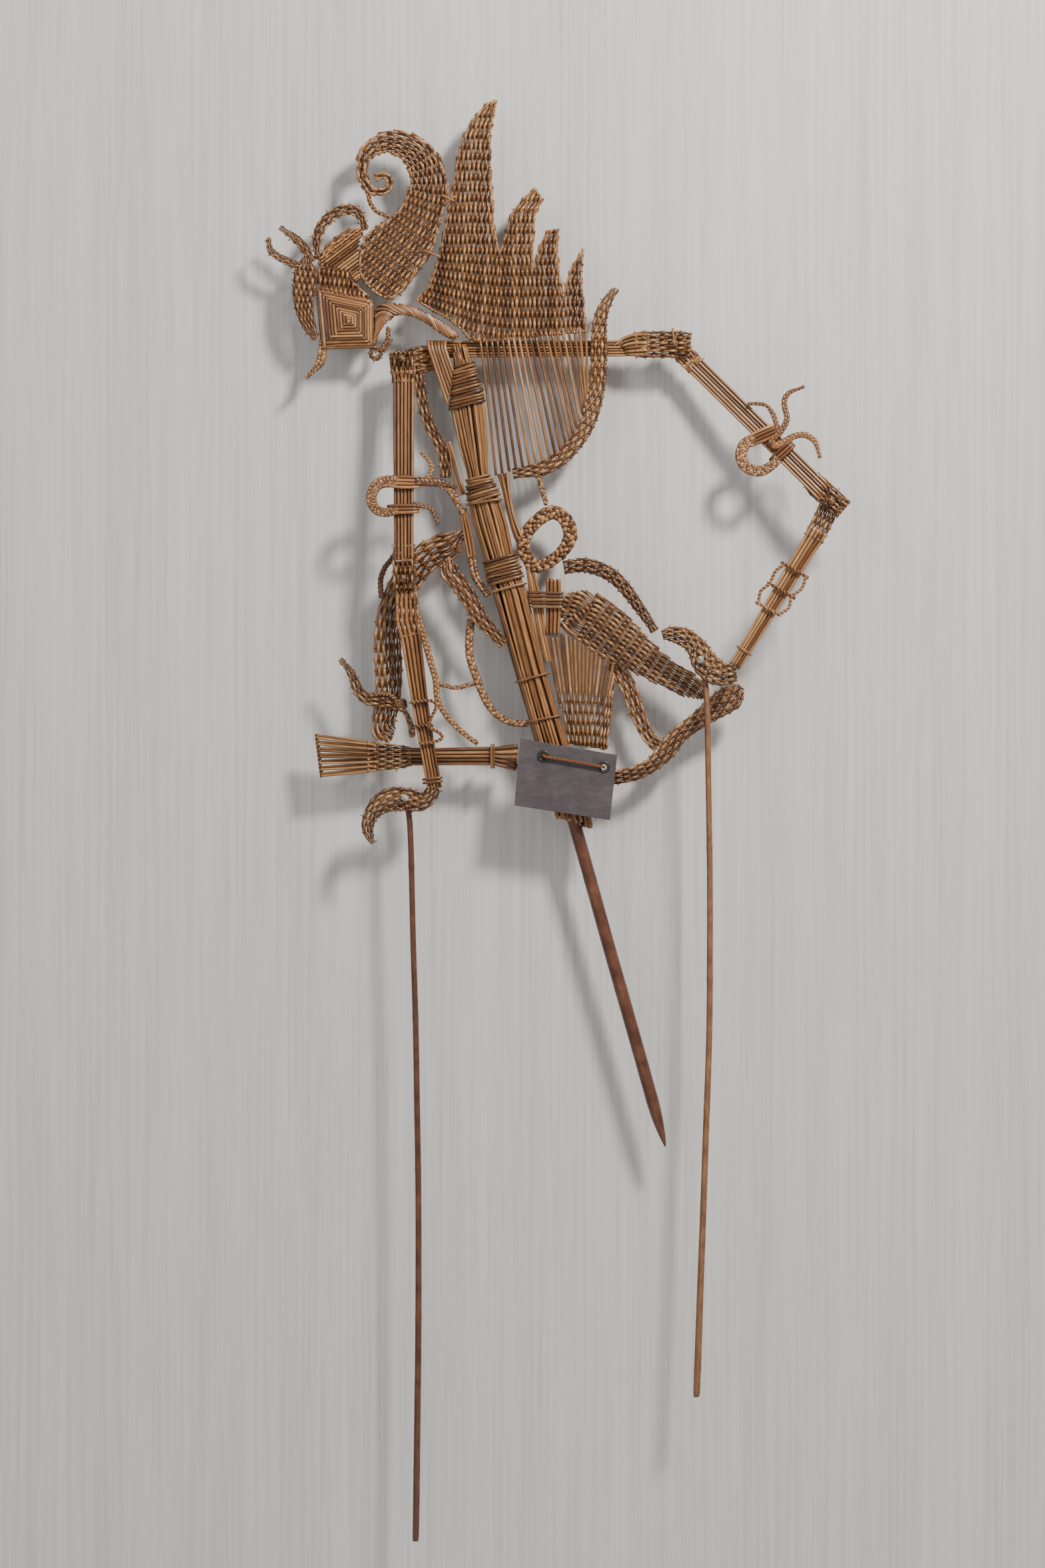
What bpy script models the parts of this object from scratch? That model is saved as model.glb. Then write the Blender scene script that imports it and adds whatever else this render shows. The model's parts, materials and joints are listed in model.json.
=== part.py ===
"""A rod puppet in flat profile, plaited from grass stalks and carried on three rods.

The figure lies in the XZ plane, facing -X, with its front towards -Y and +Z up. The origin is
on the flat of the main rod's front where it is gripped. Sizes are millimetres until a mesh is made,
and are laid out from the point where the rod's axis leaves the stalk bundle.
"""

import math

import bmesh
import bpy
from mathutils import Matrix, Vector

MM = 0.001  # metres in one of this script's units
GAP = 0.3  # clearance between neighbouring pieces
PANEL = 4.4  # thickness of a plaited panel: two stalks crossing
BRAID = 3.4  # thickness of a narrow braid
LIMB = 4.2  # depth of an arm's flat bundle
LAYER = LIMB + GAP  # how far apart the layers stand, front to back
MAIN_ROD_RADIUS = 4.1
ROD_Y = -MAIN_ROD_RADIUS - LIMB / 2 - 0.5  # the hand rods swing past the main rod's front
HAND_Y = ROD_Y - LAYER  # hands hang in front of their rods
ELBOW_Y = HAND_Y - LAYER  # the front elbow is in front of its forearm
REAR_ROD_Y = ROD_Y - LAYER - 0.4  # the rear hand's rod passes in front of the front hand's
REAR_HAND_Y = REAR_ROD_Y - LAYER
REAR_ELBOW_Y = REAR_ROD_Y - 0.9
STRAP_Y = -(PANEL + BRAID) / 2 - GAP  # braids tied over a panel
BEHIND_Y = -STRAP_Y  # braids tied behind one
BAR_Y = PANEL + GAP  # the shoulder bar passes behind the ribs
TILT = 0.25  # the bundle's cross-sections rise this much per unit of width

# The grip on the main rod's front, which becomes the origin, in the layout's millimetres.
GRIP = (32.884, -3.7, -113.071)

# Joint axes, all parallel to Y, as (x, z).
FRONT_SHOULDER = (-109.5, 296.0)
FRONT_ELBOW = (-108.5, 157.0)
FRONT_KNOT = (-107.5, 19.5)
REAR_SHOULDER = (62.0, 306.0)
REAR_ELBOW = (160.5, 206.0)
REAR_KNOT = (78.0, 106.0)
LABEL_HOLE = (-20.5, 45.5)
LABEL_HOLE_RIGHT = (17.5, 38.7)

TIE_HOLE = 1.5  # radius of a hole that a straw tie turns in
TIE_STEM = 1.15
TIE_HEAD = 3.0
TIE_HEAD_DEPTH = 1.5
THREAD_HOLE = 1.1
THREAD_STEM = 0.75
THREAD_HEAD = 2.9
THREAD_HEAD_DEPTH = 2.2

MATERIALS = {
    "straw": ((0.42, 0.21, 0.09), 0.45),
    "woven_straw": ((0.36, 0.17, 0.07), 0.5),
    "dark_wood": ((0.16, 0.06, 0.03), 0.4),
    "light_wood": ((0.30, 0.14, 0.06), 0.45),
    "thread": ((0.62, 0.62, 0.56), 0.85),
    "painted_board": ((0.12, 0.10, 0.11), 0.6),
    "eyelet_black": ((0.01, 0.01, 0.012), 0.35),
    "cord": ((0.33, 0.12, 0.05), 0.7),
}


def clear_scene():
    for thing in list(bpy.data.objects):
        bpy.data.objects.remove(thing)


def make_materials():
    for name, (colour, roughness) in MATERIALS.items():
        material = bpy.data.materials.new(name)
        material.use_nodes = True
        shader = material.node_tree.nodes["Principled BSDF"]
        shader.inputs["Base Color"].default_value = (*colour, 1)
        shader.inputs["Roughness"].default_value = roughness
        shader.inputs["Metallic"].default_value = 0


def new_collection(name):
    collection = bpy.data.collections.new(name)
    bpy.context.scene.collection.children.link(collection)
    return collection


def smooth(points, closed=False, steps=3):
    """A Catmull-Rom curve through points of any size, with steps spans between neighbours."""
    count = len(points)
    spans = count if closed else count - 1
    out = []
    for i in range(spans):
        around = [i - 1, i, i + 1, i + 2]
        around = [k % count if closed else min(max(k, 0), count - 1) for k in around]
        a, b, c, d = (points[k] for k in around)
        for step in range(steps):
            t = step / steps
            out.append(
                tuple(
                    0.5 * (2 * q + (r - p) * t + (2 * p - 5 * q + 4 * r - s) * t**2
                           + (3 * q - p - 3 * r + s) * t**3)
                    for p, q, r, s in zip(a, b, c, d)
                )
            )
    return out if closed else [*out, tuple(points[-1])]


def direction(path, i):
    """The unit direction of a path in the XZ plane at its point i."""
    a, b = path[max(i - 1, 0)], path[min(i + 1, len(path) - 1)]
    x, z = b[0] - a[0], b[1] - a[1]
    length = math.hypot(x, z)
    return x / length, z / length


def ribbon(path, steps=3):
    """The outline of a band along (x, z, width) points."""
    path = smooth(path, steps=steps) if steps > 1 else path
    left, right = [], []
    for i, (x, z, width) in enumerate(path):
        u, w = direction(path, i)
        left.append((x - w * width / 2, z + u * width / 2))
        right.append((x + w * width / 2, z - u * width / 2))
    return left + right[::-1]


def arc(x, z, radius, count=12):
    turn = 2 * math.pi / count
    return [(x + radius * math.cos(i * turn), z + radius * math.sin(i * turn)) for i in range(count)]


def finish(name, mesh, material, origin, collection):
    """Links a mesh given in millimetres as an object whose origin is (x, y, z)."""
    mesh.transform(Matrix.Translation(-Vector(origin)))
    mesh.transform(Matrix.Scale(MM, 4))
    mesh.materials.clear()
    mesh.materials.append(bpy.data.materials[material])
    piece = bpy.data.objects.new(name, mesh)
    piece.location = (Vector(origin) - Vector(GRIP)) * MM
    collection.objects.link(piece)
    return piece


def from_bmesh(bm):
    bmesh.ops.recalc_face_normals(bm, faces=bm.faces)
    mesh = bpy.data.meshes.new("shape")
    bm.to_mesh(mesh)
    bm.free()
    return mesh


def slab_mesh(outline, y, depth, holes=()):
    """A flat outline in XZ filled and given its depth about y."""
    curve = bpy.data.curves.new("outline", "CURVE")
    curve.dimensions = "2D"
    curve.fill_mode = "BOTH"
    curve.extrude = depth / 2
    for loop in (outline, *holes):
        spline = curve.splines.new("POLY")
        spline.points.add(len(loop) - 1)
        for point, (x, z) in zip(spline.points, loop):
            point.co = (x, z, 0, 1)
        spline.use_cyclic_u = True
    holder = bpy.data.objects.new("outline", curve)
    holder.matrix_world = Matrix.Translation((0, y, 0)) @ Matrix.Rotation(math.pi / 2, 4, "X")
    return mesh_of(holder)


def mesh_of(holder):
    """The welded mesh of a curve object, which is then removed."""
    bpy.context.scene.collection.objects.link(holder)
    bpy.context.view_layer.update()
    graph = bpy.context.evaluated_depsgraph_get()
    mesh = bpy.data.meshes.new_from_object(holder.evaluated_get(graph))
    mesh.transform(holder.matrix_world)
    bpy.data.objects.remove(holder)
    bm = bmesh.new()
    bm.from_mesh(mesh)
    bmesh.ops.remove_doubles(bm, verts=bm.verts, dist=0.001)
    return from_bmesh(bm)


def loft_mesh(rings, closed=False):
    """Quads between rings of equal count, capped at both ends unless the rings close on themselves."""
    bm = bmesh.new()
    loops = [[bm.verts.new(point) for point in ring] for ring in rings]
    count = len(loops[0])
    pairs = list(zip(loops, loops[1:]))
    if closed:
        pairs.append((loops[-1], loops[0]))
    else:
        bm.faces.new(loops[0])
        bm.faces.new(loops[-1])
    for here, there in pairs:
        for i in range(count):
            k = (i + 1) % count
            bm.faces.new((here[i], here[k], there[k], there[i]))
    return from_bmesh(bm)


def fluted_ring(x, z, across, half_width, y, half_depth, stalks):
    """A flat bundle's section: one ridge per stalk on the front and on the back."""
    groove = 0.78
    ring = []
    for side in (-1, 1):
        row = []
        for i in range(2 * stalks + 1):
            ridge = 1.0 if i % 2 else groove
            row.append((-1 + i / stalks, side * ridge))
        row = row if side < 0 else row[::-1]
        ring += row
    return [
        (x + across[0] * half_width * s, y + half_depth * t, z + across[1] * half_width * s)
        for s, t in ring
    ]


def bundle_mesh(path, stalks, depth):
    """A flat bundle of stalks along (x, z, width, y) points."""
    rings = []
    for i, (x, z, width, y) in enumerate(path):
        u, w = direction(path, i)
        rings.append(fluted_ring(x, z, (-w, u), width / 2, y, depth / 2, stalks))
    return loft_mesh(rings)


def tube_mesh(points, radii, closed=False):
    """A round rod or cord through (x, y, z) points."""
    curve = bpy.data.curves.new("rod", "CURVE")
    curve.dimensions = "3D"
    curve.bevel_depth = 1
    curve.bevel_resolution = 2
    curve.use_fill_caps = True
    spline = curve.splines.new("POLY")
    spline.points.add(len(points) - 1)
    for point, place, radius in zip(spline.points, points, radii):
        point.co = (*place, 1)
        point.radius = radius
    spline.use_cyclic_u = closed
    return mesh_of(bpy.data.objects.new("rod", curve))


def turned_mesh(x, z, profile, segments=16):
    """A shape turned about the line through (x, z) along Y, from (radius, y) points, front to back."""
    curve = bpy.data.meshes.new("profile")
    curve.from_pydata([(r, -y, 0) for r, y in profile], [(i, i + 1) for i in range(len(profile) - 1)], [])
    holder = bpy.data.objects.new("profile", curve)
    screw = holder.modifiers.new("Screw", "SCREW")
    screw.axis = "Y"
    screw.steps = screw.render_steps = segments
    screw.use_merge_vertices = True
    screw.merge_threshold = 0.0001
    holder.matrix_world = Matrix.Translation((x, 0, z)) @ Matrix.Scale(-1, 4, (0, 1, 0))
    return mesh_of(holder)


def combine(mesh, others, operation):
    """One mesh joined with, or cut by, others."""
    holder = bpy.data.objects.new("body", mesh)
    helpers = []
    for i, other in enumerate(others):
        helper = bpy.data.objects.new(f"tool_{i}", other)
        bpy.context.scene.collection.objects.link(helper)
        helpers.append(helper)
        step = holder.modifiers.new(f"step_{i}", "BOOLEAN")
        step.operation = operation
        step.solver = "EXACT"
        step.object = helper
    result = mesh_of(holder)
    for helper in helpers:
        bpy.data.objects.remove(helper)
    return result


def drill(mesh, centres, radius, y=0, depth=40):
    """Cuts round holes along Y."""
    return combine(mesh, [slab_mesh(arc(x, z, radius), y, depth) for x, z in centres], "DIFFERENCE")


def lean(mesh, start, end):
    """Shears a mesh front to back so that y changes evenly between two (x, z, y) points."""
    (x0, z0, y0), (x1, z1, y1) = start, end
    run = (x1 - x0) ** 2 + (z1 - z0) ** 2
    rate_x, rate_z = (y1 - y0) * (x1 - x0) / run, (y1 - y0) * (z1 - z0) / run
    for vertex in mesh.vertices:
        vertex.co.y += y0 + rate_x * (vertex.co.x - x0) + rate_z * (vertex.co.z - z0)
    return mesh


# ---------------------------------------------------------------- rods and bundle

MAIN_ROD_TOP = (-56.0, 199.0)
MAIN_ROD_TIP = (56.5, -200.5)


def main_rod_point(z):
    """Where the straight main rod passes height z."""
    (x0, z0), (x1, z1) = MAIN_ROD_TOP, MAIN_ROD_TIP
    return x0 + (x1 - x0) * (z - z0) / (z1 - z0)


def main_rod():
    """A straight rod that is sharpened below and blunt where the bundle hides its upper end."""
    levels = ((199.0, 2.6), (194.0, 3.2), (60.0, 3.9), (0.0, MAIN_ROD_RADIUS), (-170.0, MAIN_ROD_RADIUS),
              (-186.0, 3.3), (-196.0, 1.9), (-200.5, 0.6))
    points = [(main_rod_point(z), 0, z) for z, _ in levels]
    return tube_mesh(points, [radius for _, radius in levels])


# The bundle's axis and size: z, x, half width, y, half depth.
SPINE = (
    (310.0, -75.0, 5.0, -1.9, 4.0),
    (293.0, -71.0, 5.2, -1.9, 4.1),
    (265.5, -68.4, 10.4, -1.9, 4.1),
    (240.0, -64.5, 8.6, -1.9, 4.1),
    (223.0, -61.8, 5.8, -1.0, 4.8),
    (205.0, -57.4, 9.8, 0.0, 5.6),
    (192.0, -54.0, 10.4, 0.0, 6.0),
    (171.0, -48.4, 9.0, 0.0, 6.0),
    (154.5, -43.4, 9.9, 0.0, 6.0),
    (148.5, -41.4, 10.6, 0.0, 6.0),
    (102.0, -29.2, 9.6, 0.0, 6.0),
    (53.5, -15.3, 10.1, 0.0, 6.0),
    (22.5, -6.4, 11.2, 0.0, 6.3),
    (6.8, -1.4, 11.5, 0.0, 6.5),
)
FOOT_TILT = -0.3  # the stalks' rough cut at the foot slants the other way


def spine_at(z):
    """The bundle's x, half width, y and half depth at height z."""
    for high, low in zip(SPINE, SPINE[1:]):
        if z >= low[0]:
            t = (high[0] - z) / (high[0] - low[0])
            return [a + (b - a) * t for a, b in zip(high[1:], low[1:])]
    return list(SPINE[-1][1:])


def spine_ring(z, grow=0.0, ridge=0.06, count=28):
    """The bundle's rounded section at z, grown by a margin; every other point is a stalk's ridge."""
    x, half_width, y, half_depth = spine_at(z)
    tilt = FOOT_TILT if z <= SPINE[-1][0] else TILT
    ring = []
    for i in range(count):
        angle = 2 * math.pi * i / count
        out = 1 if i % 2 else 1 - ridge
        square = (abs(math.cos(angle)) ** 3 + abs(math.sin(angle)) ** 3) ** (-1 / 3)
        across = (half_width * out + grow) * math.cos(angle) * square
        ring.append((x + across, y + (half_depth * out + grow) * math.sin(angle) * square, z + tilt * across))
    return ring


def spine_bundle():
    """The sheaf of stalks round the main rod, bored for it from below."""
    sheaf = loft_mesh([spine_ring(level[0]) for level in SPINE])
    levels = ((MAIN_ROD_TOP[1] + GAP, 2.6), (194.0, 3.2), (60.0, 3.9), (0.0, MAIN_ROD_RADIUS),
              (-12.0, MAIN_ROD_RADIUS))
    bore = tube_mesh([(main_rod_point(z), 0, z) for z, _ in levels], [r + GAP for _, r in levels])
    return combine(sheaf, [bore], "DIFFERENCE")


def sleeve(top, bottom, thick):
    """A binding round the bundle between two heights."""
    levels = [top, *[s[0] for s in SPINE if bottom < s[0] < top], bottom]
    inner = [spine_ring(z, GAP, ridge=0) for z in levels]
    outer = [spine_ring(z, GAP + thick, ridge=0) for z in levels]
    return loft_mesh(inner + outer[::-1], closed=True)


# ---------------------------------------------------------------- head

def neck_arch():
    """The leaf-wrapped braid from the face over to the top of the bundle."""
    upper = [(-127.7, 331.8), (-117.5, 332.4), (-104.5, 330.6), (-92, 325), (-81.5, 318.8), (-74.6, 310.4)]
    lower = [(-84.6, 310.4), (-93.5, 317.2), (-103.5, 322.4), (-112.5, 323), (-121, 316.6), (-127.4, 305.6)]
    return slab_mesh(smooth(upper) + smooth(lower), 0, PANEL)


def neck_pendant():
    """The thin braid that hangs from the arch's back and ends in two small loops."""
    stem = ribbon([(-121, 316, 3), (-117.5, 310.5, 3), (-120.5, 306, 3), (-124, 303.6, 3)])
    ring = arc(-126.3, 299.8, 4.6)
    tail = ribbon([(-117.8, 309.5, 3), (-118.8, 306, 3), (-120.4, 301.4, 3)])
    return combine(
        slab_mesh(ring, BEHIND_Y, BRAID - 0.8, [arc(-126.3, 299.8, 1.9)]),
        [slab_mesh(stem, BEHIND_Y, BRAID - 0.6), slab_mesh(tail, BEHIND_Y, BRAID - 1)], "UNION")


def face_lozenge():
    """The wound square of the face, whose stalk ends make the small spike of the chin."""
    face = slab_mesh([(-162.6, 339.6), (-128.6, 332), (-128.3, 304.4), (-159.3, 303.4)], 0, PANEL)
    chin = ribbon([(-157, 308, 5), (-160, 301, 5.5), (-160, 296, 6.5), (-163, 291, 4.5), (-169.5, 285.5, 1.2)])
    return combine(face, [slab_mesh(chin, 0, PANEL - 1)], "UNION")


def forehead_band():
    """The brow and cheek edge with its two short prongs."""
    band = slab_mesh([
        (-170, 361.5), (-178, 352), (-179, 337.5), (-177, 326), (-172, 314.5), (-165, 308.5),
        (-163, 312), (-165, 322), (-166.2, 332), (-163.6, 342), (-163.2, 352),
    ], 0, PANEL)
    upper = slab_mesh(ribbon([(-168, 358, 6), (-171, 366, 5.8), (-178, 373, 5), (-186, 378.5, 2)]), 0, PANEL - 0.6)
    lower = slab_mesh(ribbon([
        (-172, 352, 5), (-181, 357.5, 5), (-189.5, 361.5, 4.6), (-194, 366.5, 4), (-192.5, 372, 2),
    ]), 0, PANEL - 0.3)
    return combine(band, [upper, lower], "UNION")


def horn_loop():
    return slab_mesh(ribbon([
        (-162.7, 359.8, 3.0), (-163.2, 364.6, 4.2), (-163.6, 371.4, 6.0), (-161.2, 378.8, 7), (-155.6, 385.6, 7.4),
        (-148, 390, 7.2), (-140.8, 390.6, 6.6), (-135.8, 387, 5.6), (-134.4, 382.4, 4.6), (-134.3, 378.4, 4.4),
    ]), 0, PANEL - 0.6)


def temple_fan():
    """The fan of stalks between the temple and the crown, edged with a braid."""
    return slab_mesh([
        (-161.4, 356.4), (-157.4, 365.6), (-150.6, 373), (-142, 377.4), (-135.2, 377.6), (-137.6, 371),
        (-138.4, 361), (-138.2, 350.6), (-134.4, 343.6), (-133.6, 341), (-138.4, 345), (-143.6, 352.4),
        (-156.6, 355.8),
    ], 0, PANEL - 0.3)


def temple_weave():
    return slab_mesh([
        (-162.5, 354.6), (-157, 355), (-144, 351.5), (-139, 343.5), (-131, 336.6), (-131, 333.2),
        (-147, 337.2), (-162.4, 340.8),
    ], 0, PANEL)


def crown_scroll():
    """The big curl above the head: it narrows to a coil, from which a thin braid hangs to its inner edge."""
    outer = [
        (-119, 334), (-112, 336.5), (-103, 347), (-94.6, 358.6), (-89, 368), (-86.4, 380), (-82.4, 394),
        (-81, 407), (-86.4, 424), (-96, 434.5), (-108, 439.3), (-119, 439.8), (-129, 435.6), (-136.4, 427),
        (-138.6, 417.5), (-136.4, 408.5), (-131.5, 401.6), (-124, 399), (-116.6, 402), (-115, 409.4),
        (-120.5, 414.4), (-126.6, 412.4),
    ]
    inner = [
        (-126.4, 408.8), (-120.8, 410.2), (-119.4, 405.8), (-123.4, 403.4), (-128.4, 405.4), (-131.8, 411.6),
        (-131.8, 418.2), (-127.4, 424), (-118.5, 426.5), (-109, 421.5), (-104.4, 412.5), (-105, 402),
        (-110.5, 392), (-117.4, 384.6), (-126.6, 379.4), (-132.6, 374), (-136.4, 362), (-136.6, 350),
        (-128.4, 339),
    ]
    curl = slab_mesh(smooth(outer + inner, closed=True, steps=2), 0, PANEL)
    hanging = ribbon([(-130.4, 404, 3), (-130.6, 397, 3), (-126.5, 389.5, 3), (-116, 385.6, 2.8)])
    return combine(curl, [slab_mesh(hanging, 0, BRAID)], "UNION")


# ---------------------------------------------------------------- wing

RIB_COUNT = 20
RIB_WIDTH = 1.7
FAN_FOOT_LEFT = (-60.0, 306.5)
FAN_FOOT_RIGHT = (6.2, 313.0)
# Where the ribs end: the line down the left side of the rim and round its inner edge.
RIB_ENDS = ((-50.6, 226.0), (-40.6, 228.6), (-27, 233.4), (-16.3, 236.4), (-6.9, 244.6), (-1.0, 254.0),
            (4.4, 264.6), (7.2, 277.0))


def along(line, share):
    """The point a share of the way along a polyline."""
    lengths = [math.dist(a, b) for a, b in zip(line, line[1:])]
    left = share * sum(lengths)
    for a, b, length in zip(line, line[1:], lengths):
        if left <= length:
            return a[0] + (b[0] - a[0]) * left / length, a[1] + (b[1] - a[1]) * left / length
        left -= length
    return line[-1]


def wing_fan():
    """The big woven panel with its four spiked tips and the bare ribs below it."""
    top = [
        (7.2, 315.5), (5.6, 327.5), (4, 346.5), (5, 366.5), (-3, 354), (-6, 345), (-8, 335.5), (-10, 349.5),
        (-11.6, 366.5), (-10.5, 378.5), (-17.5, 377.5), (-23, 368), (-27, 352), (-26.6, 368), (-25.5, 387),
        (-20.5, 397), (-26, 404.5), (-36, 394.5), (-41, 388), (-44.5, 375), (-48, 363.5), (-51.5, 382),
        (-52.2, 397.5), (-53.3, 413), (-54, 436.5), (-51.4, 452), (-49.5, 460), (-57, 457), (-65, 448),
        (-71.5, 436), (-75, 422.5), (-77.6, 405.5), (-79.2, 396), (-82.5, 381), (-85.2, 367), (-89, 352.5),
        (-93.2, 341.5), (-101.6, 333.4), (-91.6, 327), (-80, 320.4), (-71.2, 313.6), (-68.4, 309),
    ]
    outline = list(top)
    for i in range(RIB_COUNT):
        share = i / (RIB_COUNT - 1)
        x = FAN_FOOT_LEFT[0] + (FAN_FOOT_RIGHT[0] - FAN_FOOT_LEFT[0]) * share
        z = FAN_FOOT_LEFT[1] + (FAN_FOOT_RIGHT[1] - FAN_FOOT_LEFT[1]) * share
        end_x, end_z = along(RIB_ENDS, share)
        half = RIB_WIDTH / 2
        outline += [(x - half, z), (end_x - half, end_z), (end_x + half, end_z), (x + half, z)]
    return slab_mesh(outline[::-1], 0, PANEL)


def wing_rim():
    """The heavy braid round the wing's back edge, with the thin one that ties its foot to the waist."""
    rim = slab_mesh(ribbon([
        (25.5, 339.5, 2), (20.6, 334, 6), (15.4, 322, 8.5), (14.6, 305, 10.2), (14.4, 288, 10.2),
        (12.6, 272, 9.4), (8.4, 257.5, 9.4), (1.2, 245, 9.4), (-9, 234, 9.4), (-20, 227.2, 9), (-29.5, 225.4, 7.5),
        (-38.6, 224, 6),
    ]), 0, PANEL)
    link = ribbon([(-24.4, 226, 3.4), (-21, 213.5, 3.4), (-18.7, 205.1, 3.4)], steps=2)
    return combine(rim, [slab_mesh(link, 0, BRAID)], "UNION")


def shoulder_bar():
    """The bar of stalks: behind the ribs in the middle and forward again at both plaited ends."""
    levels = (
        (-117, 293, 12, 0), (-112, 293.5, 15, 0), (-103, 294.5, 17, 0), (-97, 296, 18, 1.2), (-91, 297, 17, 3.9),
        (-86, 299.5, 14, BAR_Y), (-78, 302.5, 11, BAR_Y), (22, 303, 10.5, BAR_Y), (29, 303.6, 12, 4.0),
        (37, 305, 16, 1.0), (44, 305.3, 16.5, 0), (66, 305.3, 16.5, 0), (72.5, 305, 15, 0),
    )
    bar = bundle_mesh([(x, z, width, y) for x, z, width, y in levels], 6, PANEL)
    return drill(bar, [FRONT_SHOULDER, REAR_SHOULDER], TIE_HOLE)


def collar_straws():
    """The slanting stalks at the front of the shoulders, tied in above the chest."""
    return bundle_mesh([(-87.6, 307, 11.4, -3.6), (-84.8, 288, 8.4, -3.6), (-83.4, 268, 2.8, -3.6)], 4, 2.2)


# ---------------------------------------------------------------- body

def chest_braid():
    """The braid down the chest, beside the few stalks that slant in under the waist binding."""
    braid = ribbon([
        (-98.9, 285.4, 6.5), (-97, 273, 7.2), (-95.4, 263, 7.2), (-91.6, 253, 7.2), (-86.4, 243.5, 7.2),
        (-83, 234.5, 7), (-82.4, 222.4, 6.5),
    ])
    stalks = ribbon([(-81, 243, 4), (-76.6, 227, 5.4), (-71.6, 211.4, 3.6)])
    return combine(slab_mesh(braid, 0, PANEL - 0.4), [slab_mesh(stalks, 0, PANEL - 0.8)], "UNION")


def hip_ring():
    """The looped braid, whose stalks run up to the ribs' ends and down beside the bundle."""
    outer = smooth([(-38, 181.6), (-29, 196), (-14.5, 204.6), (-2.6, 197.6), (1.5, 184), (-7, 170), (-23.5, 160.8),
                    (-32.6, 166)], closed=True, steps=2)
    hole = smooth([(-28.8, 181), (-22.4, 190), (-14.5, 195), (-9.6, 191), (-8, 184), (-13, 175.6), (-22.8, 169.4),
                   (-26.8, 173)], closed=True, steps=2)
    ring = slab_mesh(outer, 0, PANEL, [hole])
    upper = slab_mesh([(-50.2, 224.4), (-46.8, 214.5), (-44.4, 205), (-42.6, 194.4), (-39.8, 183.5), (-34.4, 183.5),
                       (-34.4, 188.6), (-38.6, 197), (-40.2, 206), (-41.4, 214), (-40.4, 226.2)], 0, PANEL - 0.6)
    lower = slab_mesh([(-31, 169), (-31, 160), (-29.4, 155.5), (-29.5, 151.5), (-27.1, 139.6), (-23.3, 122.5),
                       (-18.9, 104.4), (-17.6, 101), (-15.2, 101), (-18.7, 118.5), (-19.9, 122), (-20.2, 138),
                       (-22.5, 150), (-25.5, 160), (-26.4, 167)], 1.1, PANEL - 1.4)
    return combine(ring, [upper, lower], "UNION")


def hip_post():
    """Upright stalks beside the bundle, with the stalks wrapped across them towards it."""
    post = bundle_mesh([(-14.2, 158.6, 10, 0), (-14.2, 137, 10.4, 0), (-14.6, 121.4, 9.6, 0)], 4, PANEL)
    wrap = slab_mesh([(-26.9, 138.4), (-9.4, 138.4), (-9.4, 149.4), (-29.5, 149.4)], -2.2, BRAID - 0.8)
    return combine(post, [wrap], "UNION")


def back_strap():
    return slab_mesh(ribbon([
        (-6.4, 164.6, 8.4), (6, 166.2, 9.2), (21.5, 160.6, 9), (31.5, 151, 8), (39.5, 140, 7), (45.6, 131.4, 6),
        (49.4, 125, 5),
    ]), 0, PANEL - 0.4)


def rear_thigh():
    return slab_mesh([
        (-8.4, 142), (-4.5, 147), (5.5, 149.5), (17.5, 146.5), (28.5, 136.5), (38.5, 126.5), (49.5, 114.4),
        (59.5, 105.4), (74.5, 96), (80, 91), (80, 82.5), (69.5, 84.2), (53.5, 91.5), (41, 97.5), (31, 103),
        (17.5, 108.4), (5.5, 117), (-8.4, 124.2),
    ], 0, PANEL)


def rear_shin():
    """The knee's bulb and the shin that runs back to the bundle."""
    return slab_mesh(ribbon([
        (105, 83.6, 10), (97, 82, 17), (86, 74.6, 14), (75, 66.6, 11), (64.5, 58.6, 11), (57.5, 49.5, 12),
        (48.5, 40.4, 9.4), (37, 34.6, 9.2), (20, 31.6, 9), (5.6, 30.2, 9),
    ], steps=2), 0, PANEL)


def shin_strap():
    return slab_mesh(ribbon([(24.5, 104, 10.5), (33.5, 89, 10.5), (38.5, 74, 9.6), (46, 58, 8.6), (53.5, 50.5, 8)]),
                     BEHIND_Y, BRAID)


def apron():
    return slab_mesh([
        (-18.6, 120.6), (-9.6, 120.6), (-8.6, 123.4), (5.2, 116.2), (17.2, 107.6), (24, 105), (22.4, 76),
        (19, 49.6), (-4.2, 53.6), (-11, 84),
    ], 0, PANEL - 1)


def front_leg():
    """The thigh, knee and shin, plaited as one band."""
    return slab_mesh(ribbon([
        (-72.6, 177.8, 17), (-79, 178, 17.6), (-88, 175.4, 18.4), (-98, 168, 19), (-106.5, 157, 19),
        (-112.6, 146, 18), (-117.2, 134, 17), (-118.8, 120, 17), (-118.2, 104, 17.6), (-118, 90, 16.6),
        (-119.6, 76, 16), (-122, 64, 13.6), (-123.2, 56.6, 11.6),
    ], steps=2), 0, PANEL)


def knee_ring():
    return slab_mesh(ribbon([(-115, 171, 3.6), (-121.6, 162.4, 3.8), (-123.4, 152, 3.8), (-121.4, 147.4, 3.6)]),
                     STRAP_Y, BRAID)


def anklet():
    """A flame of braid in front of the shin, with its straps."""
    flame = ribbon([
        (-110, 76, 4), (-120, 79.4, 5.6), (-130, 80.6, 7), (-137, 86.6, 6.6), (-141.2, 97.6, 5), (-148, 106, 2.4),
    ])
    strap = ribbon([(-132, 82, 3), (-120, 85.4, 3), (-111, 79, 3), (-104, 66, 4), (-103.5, 59, 5)])
    return combine(slab_mesh(flame, STRAP_Y, BRAID), [slab_mesh(strap, STRAP_Y, BRAID - 0.4)], "UNION")


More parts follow.
